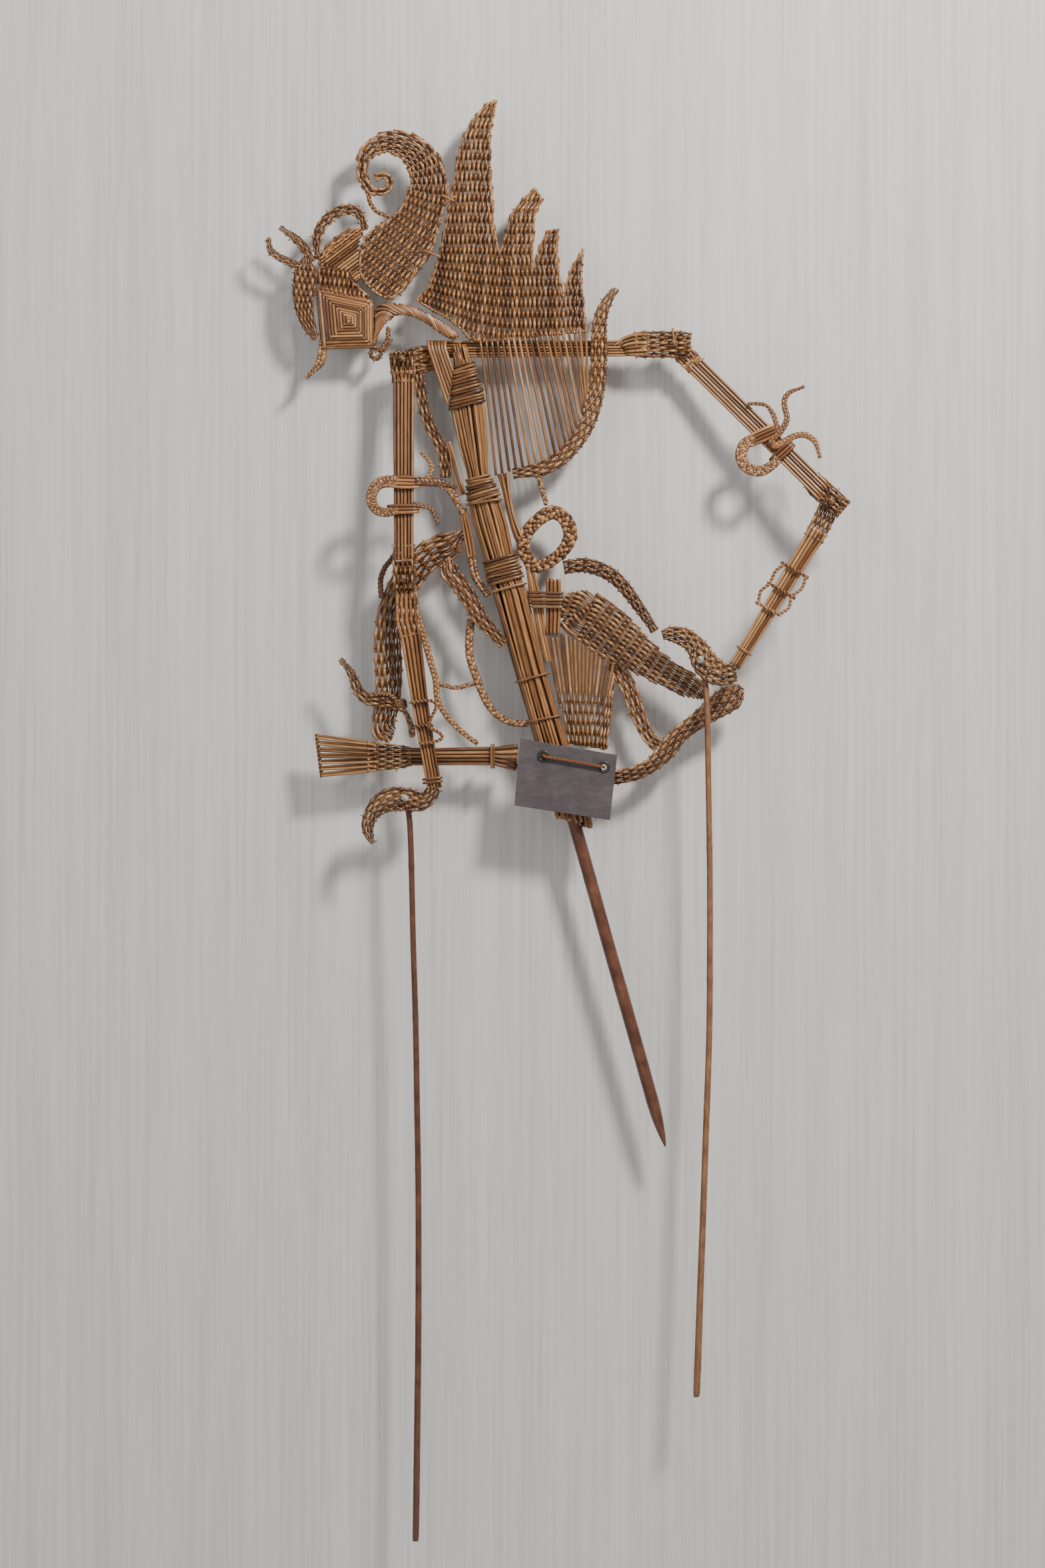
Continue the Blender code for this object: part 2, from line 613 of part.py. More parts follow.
def front_foot():
    """Seven looped stalks for toes, a plaited instep and the base bar, all of the same stalks."""
    toes = 7
    outline = [(-109.5, 51.8), (-108, 51.6), (-55, 51.6), (-50, 52), (-35.8, 54), (-35.8, 35), (-50, 39.4),
               (-55, 39.6), (-108, 39.6), (-109.5, 38), (-130, 36.4)]
    for i in range(toes):
        share = i / (toes - 1)
        root = 37.3 + (53.2 - 37.3) * share
        tip = 33.9 + (58.1 - 33.9) * share
        far = -160.6 - 3 * share
        outline += [(-131, root - 0.9), (far, tip - 0.9), (far, tip + 0.9), (-131, root + 0.9)]
    outline += [(-130, 54.2)]
    return slab_mesh(outline, 0, PANEL)


def foot_tie():
    """The ring of straw round the base bar at its right end."""
    height, depth, thick = 12 + 2 * GAP, PANEL + 2 * GAP, 1.2
    rings = []
    for grow in (0, thick):
        half_z, half_y = height / 2 + grow, depth / 2 + grow
        for x in (-53.6, -51.2):
            rings.append([(x, -half_y, 45.6 - half_z), (x, half_y, 45.6 - half_z), (x, half_y, 45.6 + half_z),
                          (x, -half_y, 45.6 + half_z)])
    inner_left, inner_right, outer_left, outer_right = rings
    return loft_mesh([inner_left, inner_right, outer_right, outer_left], closed=True)


def hip_sash():
    return slab_mesh(ribbon([
        (-84.4, 165.4, 11.5), (-76.6, 158, 11.5), (-67.5, 145.5, 11), (-61, 133.5, 10), (-53.5, 125, 8.4),
        (-48, 119, 7), (-46, 116.4, 5.5),
    ]), STRAP_Y, BRAID)


def side_cord():
    """The stalks beside the bundle from waist to hip, braided together below."""
    stalks = ribbon([(-71.2, 200, 4.4), (-68.4, 187, 6.4), (-65.8, 172, 5.8)])
    cord = ribbon([(-65.8, 173, 5.4), (-64, 160, 5.4), (-60, 153.4, 5), (-55.6, 147.4, 4.4)])
    return combine(slab_mesh(stalks, 0, PANEL - 0.4), [slab_mesh(cord, 0, BRAID)], "UNION")


def sash_long():
    return slab_mesh(ribbon([
        (-66, 131, 5.4), (-67.2, 121.5, 5.4), (-67, 109, 5.4), (-64, 99, 5.4), (-60, 88, 5.2), (-55, 77.5, 5),
        (-47.6, 70, 4.8), (-39.6, 66.4, 4.6), (-31, 66.4, 4.4),
    ]), 0, BRAID)


def front_cord():
    """The long braid from knee to base bar, with the short cord that links it to the sash."""
    main = ribbon([
        (-101.6, 140, 4.8), (-98.6, 130, 4.8), (-95, 118, 4.8), (-91.6, 105, 4.6), (-88, 93, 4.6), (-87.6, 82, 4.2),
        (-81.5, 71, 4), (-72, 61, 3.6), (-63, 54.4, 3.4),
    ])
    link = ribbon([(-88, 92, 3), (-80.5, 89.6, 3), (-74.5, 88.6, 3), (-65.2, 91.4, 3)])
    return combine(slab_mesh(main, 0, BRAID), [slab_mesh(link, 0, BRAID - 0.4)], "UNION")


# ---------------------------------------------------------------- front arm

# Between these (x, z, y) points each arm's bundle leans forward; its ends stay square to the joints.
FRONT_ARM_LEAN = ((-108.4, 280, -LAYER), (-108.4, 178, ELBOW_Y))
REAR_ARM_LEAN = ((78, 290, LAYER), (148, 219, REAR_ELBOW_Y))
REAR_FOREARM_LEAN = ((143, 172, REAR_ELBOW_Y + LAYER), (107.6, 115, REAR_HAND_Y))
TRIM_Y = -(LIMB + BRAID - 0.6) / 2 - GAP  # braids tied across the front of an arm


def front_upper_arm():
    top, foot = -LAYER, ELBOW_Y
    arm = bundle_mesh([
        (-109, 300, 15.6, top), (-108.6, 284, 15.2, top), (-108.4, 280, 14, top), (-108.2, 178, 12.6, foot),
        (-108, 169, 14.4, foot), (-107.6, 151, 14, foot),
    ], 6, LIMB)
    return drill(arm, [FRONT_SHOULDER, FRONT_ELBOW], TIE_HOLE)


def front_armlet():
    """Braids tied round the upper arm: a loop to the left, a crossing and two hooked tails."""
    depth = BRAID - 0.6
    loop = slab_mesh(smooth([(-130.4, 210), (-126, 217.6), (-116, 222), (-101, 222.6), (-100.6, 215), (-108, 208),
                             (-101, 203), (-102, 197.4), (-114, 197), (-124, 199.6)], closed=True, steps=2),
                     TRIM_Y, depth, [smooth([(-125, 209.6), (-120, 214.2), (-113.6, 213), (-114, 204),
                                             (-120, 202.8)], closed=True, steps=2)])
    upper = ribbon([(-104, 218, 6), (-91, 217.4, 6), (-84, 216.6, 6), (-78.6, 212.4, 5.4), (-75, 205.5, 5),
                    (-71.5, 198, 2.4)])
    prong = ribbon([(-96, 218, 3.6), (-91, 223, 3.4), (-90.4, 229, 3.2), (-93.5, 233, 2.8), (-97.5, 235, 1.6)])
    lower = ribbon([(-104, 201, 3.6), (-95, 203, 3.4), (-89.6, 199.6, 3.2), (-88, 195, 2.8), (-89, 190.5, 1.6)])
    tails = [slab_mesh(tail, TRIM_Y, depth - 0.2 * k) for k, tail in enumerate((upper, prong, lower), 1)]
    return lean(combine(loop, tails, "UNION"), *FRONT_ARM_LEAN)


def front_forearm():
    """The forearm's stalks, plaited at the wrist into the hand."""
    levels = ((162, -108.8, 12.6), (146, -106.6, 14), (130, -106, 15), (119, -103.6, 13), (80.5, -98.2, 10.6),
              (51.5, -93.4, 9.6), (33, -90.2, 9.8), (24, -88.6, 10))
    arm = bundle_mesh([(x, z, width, HAND_Y) for z, x, width in levels], 5, LIMB)
    hand = smooth([
        (-93.5, 27.2), (-83.6, 27.2), (-82.5, 22.5), (-88.5, 15), (-97, 10.8), (-108, 10.8), (-119, 10.6), (-126, 5.4),
        (-127.4, -2), (-126.8, -10), (-131.5, -6.5), (-135, 0.5), (-134, 8), (-130.5, 15), (-122.5, 22.5),
        (-115, 26.2), (-106, 26), (-98.5, 23),
    ], closed=True, steps=2)
    whole = combine(arm, [slab_mesh(hand, HAND_Y, LIMB - 0.3)], "UNION")
    whole = drill(whole, [FRONT_ELBOW], TIE_HOLE)
    return drill(whole, [FRONT_KNOT], THREAD_HOLE)


def arm_ring(path, y, stretch, thick=0.9):
    """A binding round a flat arm between two (x, z, width) points of its axis."""
    inner, outer = [], []
    for i, (x, z, width) in enumerate(path):
        u, w = direction(path, i)
        for ring, grow in ((inner, GAP), (outer, GAP + thick)):
            half, deep = width / 2 + grow, stretch / 2 + grow
            ring.append([(x - w * half, y - deep, z + u * half), (x + w * half, y - deep, z - u * half),
                         (x + w * half, y + deep, z - u * half), (x - w * half, y + deep, z + u * half)])
    return loft_mesh(inner + outer[::-1], closed=True)


def front_bracelet():
    """Ties across the forearm with two thin twisted loops beside it."""
    y, depth = HAND_Y + TRIM_Y, BRAID - 0.6
    path = ribbon([(-105, 79, 2), (-92.6, 80.6, 2), (-87.8, 77.4, 2), (-90.6, 70, 2), (-92.4, 64, 2), (-86, 60.4, 2),
                   (-84, 57, 2), (-89, 54.6, 2), (-98.4, 53.4, 2)])
    low = ribbon([(-102, 63.6, 2), (-96, 65, 2), (-90, 64.6, 2)])
    return combine(slab_mesh(path, y, depth), [slab_mesh(low, y, depth - 0.2)], "UNION")


# ---------------------------------------------------------------- rear arm

def rear_upper_arm():
    """Behind the bar at the shoulder, leaning forward to the elbow."""
    arm = bundle_mesh([
        (57.5, 310.5, 12.4, LAYER), (74, 294, 12.6, LAYER), (78, 290, 12.4, LAYER), (148, 219, 12.4, REAR_ELBOW_Y),
        (154, 213, 14.4, REAR_ELBOW_Y), (168.6, 200.4, 13, REAR_ELBOW_Y),
    ], 5, LIMB)
    return drill(arm, [REAR_SHOULDER, REAR_ELBOW], TIE_HOLE)


def rear_armlet():
    """Braids tied across the rear upper arm: a ring below and hooked tails above."""
    depth = BRAID - 0.6
    ring = slab_mesh(smooth([(101.4, 234), (103.6, 244), (110, 248.6), (121, 243.6), (131, 235), (124, 227.6),
                             (114, 222.4), (105, 225.6)], closed=True, steps=2), TRIM_Y, depth,
                     [smooth([(111.6, 237.4), (117.4, 240), (120.4, 234.6), (114.6, 230.4)], closed=True, steps=2)])
    right = ribbon([(122, 238, 6), (131, 243, 5), (138.5, 247.4, 4.2), (146, 247, 4.2), (151.4, 241.6, 3.6),
                    (152.2, 234, 1.6)])
    upper = ribbon([(122, 242, 5), (128.5, 249.5, 4.4), (133.4, 258, 4), (130.8, 266, 4), (133, 274, 3.6),
                    (143, 277.4, 1.6)])
    left = ribbon([(127, 251, 3.4), (124.4, 260, 3.4), (121, 266, 3.2), (115.5, 267.6, 3), (109, 267.2, 1.6)])
    tails = [slab_mesh(tail, TRIM_Y, depth - 0.2 * k) for k, tail in enumerate((right, upper, left), 1)]
    return lean(combine(ring, tails, "UNION"), *REAR_ARM_LEAN)


def rear_forearm():
    """Behind the upper arm at the elbow, leaning forward to the hand."""
    at_elbow = REAR_ELBOW_Y + LAYER
    slope = ((161.4, 210, 12, at_elbow), (157, 197, 13, at_elbow), (150.6, 184, 13, at_elbow),
             (143, 172, 11, at_elbow), (107.6, 115, 8.6, REAR_HAND_Y), (98, 100, 8.6, REAR_HAND_Y))
    arm = bundle_mesh(slope, 5, LIMB)
    hand = smooth([
        (53, 124), (58, 127.2), (69, 127), (75.5, 122.4), (82, 118.4), (85.8, 112.2), (91, 106), (97, 102.6),
        (104.6, 98.2), (100, 91.4), (89, 89.4), (80, 90.2), (74.6, 96), (72.2, 105), (70.8, 111.6), (64.5, 115.2),
        (57.5, 117.8),
    ], closed=True, steps=2)
    whole = combine(arm, [slab_mesh(hand, REAR_HAND_Y, LIMB - 0.3)], "UNION")
    whole = drill(whole, [REAR_ELBOW], TIE_HOLE)
    return drill(whole, [REAR_KNOT], THREAD_HOLE)


def rear_bracelet():
    """Two braided loops beside the forearm on three ties across its front."""
    depth = BRAID - 0.6
    ties = [((128.6, 167.6), (146, 157.6)), ((120, 154.8), (137.6, 144.4)), ((112.4, 142.4), (128.6, 133.6))]
    sides = [ribbon([(131, 166, 2), (125.4, 161.6, 2), (121.6, 154, 2), (116, 149, 2), (114.6, 141.4, 2)]),
             ribbon([(144.6, 158.6, 2), (142, 151, 2), (135.6, 145.6, 2), (133.6, 138.6, 2), (127.4, 134.4, 2)])]
    bars = [ribbon([(*a, 2), (*b, 2)], steps=1) for a, b in ties]
    meshes = [slab_mesh(shape, TRIM_Y, depth - 0.1 * k) for k, shape in enumerate(bars + sides)]
    return lean(combine(meshes[0], meshes[3:] + meshes[1:3], "UNION"), *REAR_FOREARM_LEAN)


# ---------------------------------------------------------------- hand rods, ties, label

def hand_rod(path, y, knot):
    """A slim rod along (x, z, radius) points with the hole that its thread passes through."""
    rod = tube_mesh([(x, y, z) for x, z, _ in path], [radius for _, _, radius in path])
    return drill(rod, [knot], THREAD_HOLE)


def front_rod():
    return hand_rod([(-107.6, 23.6, 1.4), (-107.5, 22.4, 1.9), (-107.2, 16, 1.95), (-104.4, 0, 1.9), (-102.2, -76, 1.9),
                     (-100.4, -150, 1.95), (-99, -255, 2.0), (-99.4, -339, 2.1), (-100.8, -440, 2.15),
                     (-101, -444.4, 1.5)], ROD_Y, FRONT_KNOT)


def rear_rod():
    return hand_rod([(77.6, 110.2, 1.4), (77.8, 109, 1.9), (79, 100, 1.95), (82, 84, 1.9), (83.6, 18, 1.9),
                     (84.2, -66, 1.95), (83.4, -142, 2.0), (79.4, -256, 2.1), (76, -349, 2.25), (75.8, -353, 1.5)],
                    REAR_ROD_Y, REAR_KNOT)


def tie(pivot, front, back, stem, head, head_depth):
    """A tie turned about its pivot: a knot in front, the stem through both pieces, and a knot behind."""
    profile = [
        (0, front - head_depth), (head * 0.7, front - head_depth * 0.8), (head, front - head_depth * 0.4),
        (head * 0.8, front), (stem, front), (stem, back), (head * 0.8, back), (head, back + head_depth * 0.4),
        (head * 0.7, back + head_depth * 0.8), (0, back + head_depth),
    ]
    return turned_mesh(*pivot, profile)


def straw_tie(pivot, front, back):
    return tie(pivot, front - GAP, back + GAP, TIE_STEM, TIE_HEAD, TIE_HEAD_DEPTH)


def thread_tie(pivot, hand_y, rod_y):
    """The thread through a hand and the rod behind it."""
    front, back = hand_y - LIMB / 2 - GAP, rod_y + LIMB / 2
    return tie(pivot, front, back, THREAD_STEM, THREAD_HEAD, THREAD_HEAD_DEPTH)


LABEL_Y = -12.4
LABEL_DEPTH = 2.0
EYELET_RADIUS = 4.0
EYELET_BORE = 1.8
EYELET_WALL = 0.6
PRESS_GAP = 0.1  # between the board and its eyelets
CORD_RADIUS = 0.95


def label_board():
    """A painted board with two holes for its cord, slightly askew."""
    board = slab_mesh([(-35, 56.6), (26, 46.4), (21.2, 5.4), (-38.6, 14.6)], LABEL_Y, LABEL_DEPTH)
    return drill(board, [LABEL_HOLE, LABEL_HOLE_RIGHT], EYELET_BORE + EYELET_WALL + PRESS_GAP)


def eyelet(hole):
    """A thin flanged tube through the board."""
    face = LABEL_Y - LABEL_DEPTH / 2 - PRESS_GAP
    wall = EYELET_BORE + EYELET_WALL
    profile = [
        (EYELET_BORE, face - 0.5), (EYELET_RADIUS - 0.4, face - 0.5), (EYELET_RADIUS, face), (wall, face),
        (wall, LABEL_Y + LABEL_DEPTH / 2), (EYELET_BORE, LABEL_Y + LABEL_DEPTH / 2), (EYELET_BORE, face - 0.5),
    ]
    return turned_mesh(*hole, profile, segments=20)


def label_cord():
    """The cord's loop: across the board's front, back through both holes and round the bundle."""
    (lx, lz), (rx, rz) = LABEL_HOLE, LABEL_HOLE_RIGHT
    front = LABEL_Y - LABEL_DEPTH / 2 - 0.6 - CORD_RADIUS - GAP
    rear = -7.9
    loop = [
        (lx + 0.9, front, lz - 0.2), (rx - 0.9, front, rz + 0.2), (rx, front + 0.9, rz), (rx, rear - 0.9, rz),
        (rx - 1, rear, rz + 0.4), (4, rear, 43), (0.6, rear + 1.2, 43.6), (0.2, 6.4, 43.6), (-1.6, 8, 43.4),
        (-12, 8.3, 42), (-23, 8, 40.8), (-25.2, 6, 40.6), (-25.4, rear + 1.4, 40.8), (-24.4, rear, 42),
        (lx - 0.9, rear, lz - 0.4), (lx, rear - 0.9, lz), (lx, front + 0.9, lz),
    ]
    return tube_mesh(loop, [CORD_RADIUS] * len(loop), closed=True)


def build():
    clear_scene()
    make_materials()
    puppet = new_collection("rod_puppet")
    straw, woven = "straw", "woven_straw"
    fixed = {
        "main_rod": (main_rod(), "dark_wood"),
        "spine_bundle": (spine_bundle(), straw),
        "upper_binding": (sleeve(293, 266, 1.0), straw),
        "waist_binding": (sleeve(222, 205, 1.0), straw),
        "hip_binding": (sleeve(171, 155.5, 1.0), straw),
        "ring_tie": (sleeve(152.6, 150.6, 0.8), straw),
        "lower_tie_upper": (sleeve(96, 94, 0.8), straw),
        "lower_tie_lower": (sleeve(70, 68, 0.8), straw),
        "collar_straws": (collar_straws(), straw),
        "shoulder_bar": (shoulder_bar(), straw),
        "neck_arch": (neck_arch(), woven),
        "neck_pendant": (neck_pendant(), woven),
        "face_lozenge": (face_lozenge(), woven),
        "forehead_band": (forehead_band(), woven),
        "horn_loop": (horn_loop(), woven),
        "temple_fan": (temple_fan(), woven),
        "temple_weave": (temple_weave(), woven),
        "crown_scroll": (crown_scroll(), woven),
        "wing_fan": (wing_fan(), woven),
        "wing_rim": (wing_rim(), woven),
        "chest_braid": (chest_braid(), woven),
        "hip_ring": (hip_ring(), woven),
        "hip_post": (hip_post(), straw),
        "back_strap": (back_strap(), woven),
        "rear_thigh": (rear_thigh(), woven),
        "rear_shin": (rear_shin(), woven),
        "shin_strap": (shin_strap(), woven),
        "apron": (apron(), woven),
        "front_leg": (front_leg(), woven),
        "knee_ring": (knee_ring(), woven),
        "anklet": (anklet(), woven),
        "front_foot": (front_foot(), straw),
        "foot_tie": (foot_tie(), straw),
        "hip_sash": (hip_sash(), woven),
        "side_cord": (side_cord(), woven),
        "sash_long": (sash_long(), woven),
        "front_cord": (front_cord(), woven),
        "front_shoulder_tie": (straw_tie(FRONT_SHOULDER, -LAYER - LIMB / 2, PANEL / 2), straw),
        "rear_shoulder_tie": (straw_tie(REAR_SHOULDER, -PANEL / 2, LAYER + LIMB / 2), straw),
        "label_cord": (label_cord(), "cord"),
    }
    for name, (mesh, material) in fixed.items():
        low = Vector([min(v.co[k] for v in mesh.vertices) for k in range(3)])
        high = Vector([max(v.co[k] for v in mesh.vertices) for k in range(3)])
        finish(name, mesh, material, (low + high) / 2, puppet)
    front_wrist = arm_ring([(-90.4, 32.6, 10.4), (-89.9, 28.2, 10.4)], HAND_Y, LIMB)
    rear_wrist = arm_ring([(106.4, 113.2, 9), (104.6, 110.4, 9)], REAR_HAND_Y, LIMB)
    front_pin = straw_tie(FRONT_ELBOW, ELBOW_Y - LIMB / 2, HAND_Y + LIMB / 2)
    rear_pin = straw_tie(REAR_ELBOW, REAR_ELBOW_Y - LIMB / 2, REAR_ELBOW_Y + LAYER + LIMB / 2)
    moving = {
        "front_upper_arm": (front_upper_arm(), straw, FRONT_SHOULDER),
        "front_armlet": (front_armlet(), woven, FRONT_SHOULDER),
        "front_elbow_tie": (front_pin, straw, FRONT_ELBOW),
        "front_forearm": (front_forearm(), straw, FRONT_ELBOW),
        "front_bracelet": (front_bracelet(), woven, FRONT_ELBOW),
        "front_wrist_binding": (front_wrist, straw, FRONT_ELBOW),
        "front_thread_tie": (thread_tie(FRONT_KNOT, HAND_Y, ROD_Y), "thread", FRONT_KNOT),
        "front_rod": (front_rod(), "dark_wood", FRONT_KNOT),
        "rear_upper_arm": (rear_upper_arm(), straw, REAR_SHOULDER),
        "rear_armlet": (rear_armlet(), woven, REAR_SHOULDER),
        "rear_elbow_tie": (rear_pin, straw, REAR_ELBOW),
        "rear_forearm": (rear_forearm(), straw, REAR_ELBOW),
        "rear_bracelet": (rear_bracelet(), woven, REAR_ELBOW),
        "rear_wrist_binding": (rear_wrist, straw, REAR_ELBOW),
        "rear_thread_tie": (thread_tie(REAR_KNOT, REAR_HAND_Y, REAR_ROD_Y), "thread", REAR_KNOT),
        "rear_rod": (rear_rod(), "light_wood", REAR_KNOT),
        "label_board": (label_board(), "painted_board", LABEL_HOLE),
        "label_eyelet_left": (eyelet(LABEL_HOLE), "eyelet_black", LABEL_HOLE),
        "label_eyelet_right": (eyelet(LABEL_HOLE_RIGHT), "eyelet_black", LABEL_HOLE),
    }
    for name, (mesh, material, (x, z)) in moving.items():
        finish(name, mesh, material, (x, 0, z), puppet)


build()
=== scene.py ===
"""The looks of the plaited rod puppet: every stalk, plait, tie and rod as its own strand.

Each piece stands for one CAD node and is drawn inside it. Bands take their middle line, width and
depth from the CAD solid. Lengths are millimetres until a mesh is made, laid out from the point where
the main rod's axis leaves the stalk bundle; +Z is up and -Y is the front.
"""

import json
import math

import bpy
import numpy as np
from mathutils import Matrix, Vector


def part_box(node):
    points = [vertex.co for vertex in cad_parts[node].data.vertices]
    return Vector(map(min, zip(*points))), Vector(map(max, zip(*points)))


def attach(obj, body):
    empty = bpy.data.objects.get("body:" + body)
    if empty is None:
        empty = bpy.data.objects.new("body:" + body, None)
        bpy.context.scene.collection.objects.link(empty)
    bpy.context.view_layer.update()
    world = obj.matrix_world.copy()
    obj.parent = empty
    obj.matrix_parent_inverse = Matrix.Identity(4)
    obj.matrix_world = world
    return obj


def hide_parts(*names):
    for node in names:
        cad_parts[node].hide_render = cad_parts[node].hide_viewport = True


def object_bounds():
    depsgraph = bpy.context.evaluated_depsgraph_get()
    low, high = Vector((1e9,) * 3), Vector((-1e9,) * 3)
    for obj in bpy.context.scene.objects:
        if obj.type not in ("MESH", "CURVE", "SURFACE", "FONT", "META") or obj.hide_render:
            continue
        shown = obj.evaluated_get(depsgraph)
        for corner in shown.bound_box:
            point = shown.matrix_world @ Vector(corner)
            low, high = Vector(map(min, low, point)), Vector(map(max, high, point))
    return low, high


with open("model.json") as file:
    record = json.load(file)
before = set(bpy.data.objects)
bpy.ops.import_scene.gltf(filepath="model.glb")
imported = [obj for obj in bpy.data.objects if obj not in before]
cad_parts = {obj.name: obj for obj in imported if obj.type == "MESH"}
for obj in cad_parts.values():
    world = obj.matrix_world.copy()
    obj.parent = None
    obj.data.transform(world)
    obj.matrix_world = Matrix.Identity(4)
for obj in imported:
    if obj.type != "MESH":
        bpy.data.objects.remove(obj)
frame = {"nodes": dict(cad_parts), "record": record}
cad_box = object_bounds()

MM = 0.001
RANDOM = np.random.default_rng(11)
BEHAVIOUR = frame["record"]["behaviour"]
BODY_OF = {node: body for body, nodes in BEHAVIOUR["bodies"].items() for node in nodes}
GRIP = np.array([32.884, -3.7, -113.071])  # the frame's origin in this script's layout
PIVOT = {joint["name"]: np.array(joint["pos_m"]) / MM + GRIP for joint in BEHAVIOUR["joints"]}
FRONT = np.array([0.0, 1.0, 0.0])  # strands of a flat plait are laid out against this direction
OVERLAP = 1.4  # a band's strands run this far past its ends, into the piece that they are tied to
WEFT = 0.36  # radius of a weft
LIMB = 4.2  # depth of an arm's flat bundle
BAR = 4.4  # depth of the shoulder bar and of the front foot's weave
GAP = 0.3  # between a piece and what is wound round it
TRIM = -(LIMB + 2.8) / 2 - GAP  # braids tied over an arm lie this far in front of its middle


# ---------------------------------------------------------------- curves

def resample(points, step, dims=3, closed=False):
    """Points at even spacing along a polyline, whose first dims columns are its place."""
    points = np.asarray(points, float)
    if closed:
        points = np.vstack([points, points[:1]])
    gaps = np.linalg.norm(np.diff(points[:, :dims], axis=0), axis=1)
    keep = np.r_[True, gaps > 1e-9]
    points, gaps = points[keep], gaps[gaps > 1e-9]
    far = np.r_[0, np.cumsum(gaps)]
    count = max(int(round(far[-1] / step)), 2) + 1
    at = np.linspace(0, far[-1], count)
    out = np.stack([np.interp(at, far, column) for column in points.T], axis=1)
    return out[:-1] if closed else out


def smooth(points, step, dims=2, closed=False):
    """An evenly spaced Catmull-Rom curve through points whose first dims columns are their place."""
    points = np.asarray(points, float)
    count = len(points)
    spans = np.arange(count if closed else count - 1)
    around = [spans - 1, spans, spans + 1, spans + 2]
    around = [k % count if closed else np.clip(k, 0, count - 1) for k in around]
    a, b, c, d = (points[k][:, None] for k in around)
    t = (np.arange(10) / 10)[None, :, None]
    curve = 0.5 * (2 * b + (c - a) * t + (2 * a - 5 * b + 4 * c - d) * t**2 + (3 * b - a - 3 * c + d) * t**3)
    curve = curve.reshape(-1, points.shape[1])
    if not closed:
        curve = np.vstack([curve, points[-1:]])
    return resample(curve, step, dims, closed)


def unit(v):
    return v / np.maximum(np.linalg.norm(v, axis=-1, keepdims=True), 1e-9)


def lengths(points):
    """The distance along a polyline to each of its points."""
    return np.r_[0, np.cumsum(np.linalg.norm(np.diff(points, axis=0), axis=1))]


def normals_2d(path, closed=False):
    """The direction to the left of a path in the XZ plane, at each of its points."""
    ahead = np.roll(path, -1, 0) - np.roll(path, 1, 0) if closed else np.gradient(path, axis=0)
    ahead = unit(ahead[:, :2])
    return np.stack([-ahead[:, 1], ahead[:, 0]], axis=1)


def inside(points, loops):
    """Which (x, z) points lie inside an outline and outside its holes."""
    x, z = points[:, :1], points[:, 1:2]
    crossings = np.zeros(len(points), int)
    for loop in loops:
        ax, az = loop[:, 0], loop[:, 1]
        bx, bz = np.roll(ax, -1), np.roll(az, -1)
        spans = (az > z) != (bz > z)
        with np.errstate(divide="ignore", invalid="ignore"):
            cut = ax + (z - az) * (bx - ax) / (bz - az)
        crossings += (spans & (x < cut)).sum(axis=1)
    return crossings % 2 == 1


def covered(points, loops, reach=0.0):
    """Which (x, z) points lie inside an outline or at most reach outside it."""
    kept = inside(points, loops)
    if reach > 0:
        rim = np.vstack([resample(loop, 0.8, 2, True) for loop in loops])
        kept |= np.linalg.norm(points[:, None] - rim[None], axis=2).min(axis=1) < reach
    return kept


def lifted(path, y):
    """(x, z) points as (x, y, z) points."""
    return np.insert(np.asarray(path, float), 1, y, axis=1)


# ---------------------------------------------------------------- strands

def strand(points, radius, flat=1.0, ref=FRONT, closed=False, shade=None, painted_shade=0.0):
    """One stalk, as a tube through (x, y, z) points, flattened towards ref and darkened by painted shade
    where painted_shade nears 1.
    """
    points = np.asarray(points, float)
    return {
        "points": points,
        "radius": np.array(np.broadcast_to(radius, len(points)), float),
        "painted_shade": np.array(np.broadcast_to(painted_shade, len(points)), float),
        "flat": flat,
        "ref": np.asarray(ref, float),
        "closed": closed,
        "shade": RANDOM.random() if shade is None else shade,
    }


def stalk_mesh(name, strands, sides):
    """One mesh of tubes. Each point carries its place along its stalk, the stalk's shade and its painted
    shade, a darkening that stands for the shadow between stalks.
    """
    places, quads, caps, along, turn = [], [], [], [], []
    base = 0
    angle = 2 * np.pi * np.arange(sides) / sides
    cosine, sine = np.cos(angle), np.sin(angle)
    k = np.arange(sides)
    after = (k + 1) % sides
    for item in strands:
        p, closed, count = item["points"], item["closed"], len(item["points"])
        ahead = unit(np.roll(p, -1, 0) - np.roll(p, 1, 0) if closed else np.gradient(p, axis=0))
        side = unit(np.cross(ahead, item["ref"]))
        up = np.cross(side, ahead)
        across = cosine[:, None] * side[:, None] + item["flat"] * sine[:, None] * up[:, None]
        places.append((p[:, None] + item["radius"][:, None, None] * across).reshape(-1, 3))
        i = np.arange(count if closed else count - 1)[:, None]
        here, there = base + i * sides, base + (i + 1) % count * sides
        quads.append(np.stack([here + k, there + k, there + after, here + after], axis=-1).reshape(-1, 4))
        if not closed:
            caps.append(list(range(base, base + sides)))
            caps.append(list(range(base + count * sides - 1, base + (count - 1) * sides - 1, -1)))
        stored = np.stack([lengths(p), np.full(count, item["shade"]), item["painted_shade"]], axis=1)
        along.append(np.repeat(stored, sides, axis=0))
        turn.append(np.tile(np.stack([cosine, sine, 0 * angle], axis=1), (count, 1)))
        base += count * sides
    mesh = bpy.data.meshes.new(name)
    mesh.from_pydata(((np.vstack(places) - GRIP) * MM).tolist(), [], np.vstack(quads).tolist() + caps)
    mesh.polygons.foreach_set("use_smooth", np.ones(len(mesh.polygons), bool))
    for title, values in (("stalk", along), ("turn", turn)):
        attribute = mesh.attributes.new(title, "FLOAT_VECTOR", "POINT")
        attribute.data.foreach_set("vector", np.vstack(values).ravel())
    return mesh


def place(name, mesh, material, node):
    """Links a finished mesh as the piece that stands for this CAD node and rides on its body."""
    mesh.materials.append(MATERIAL[material])
    piece = bpy.data.objects.new(name, mesh)
    bpy.context.scene.collection.objects.link(piece)
    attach(piece, BODY_OF[node])
    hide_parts(node)


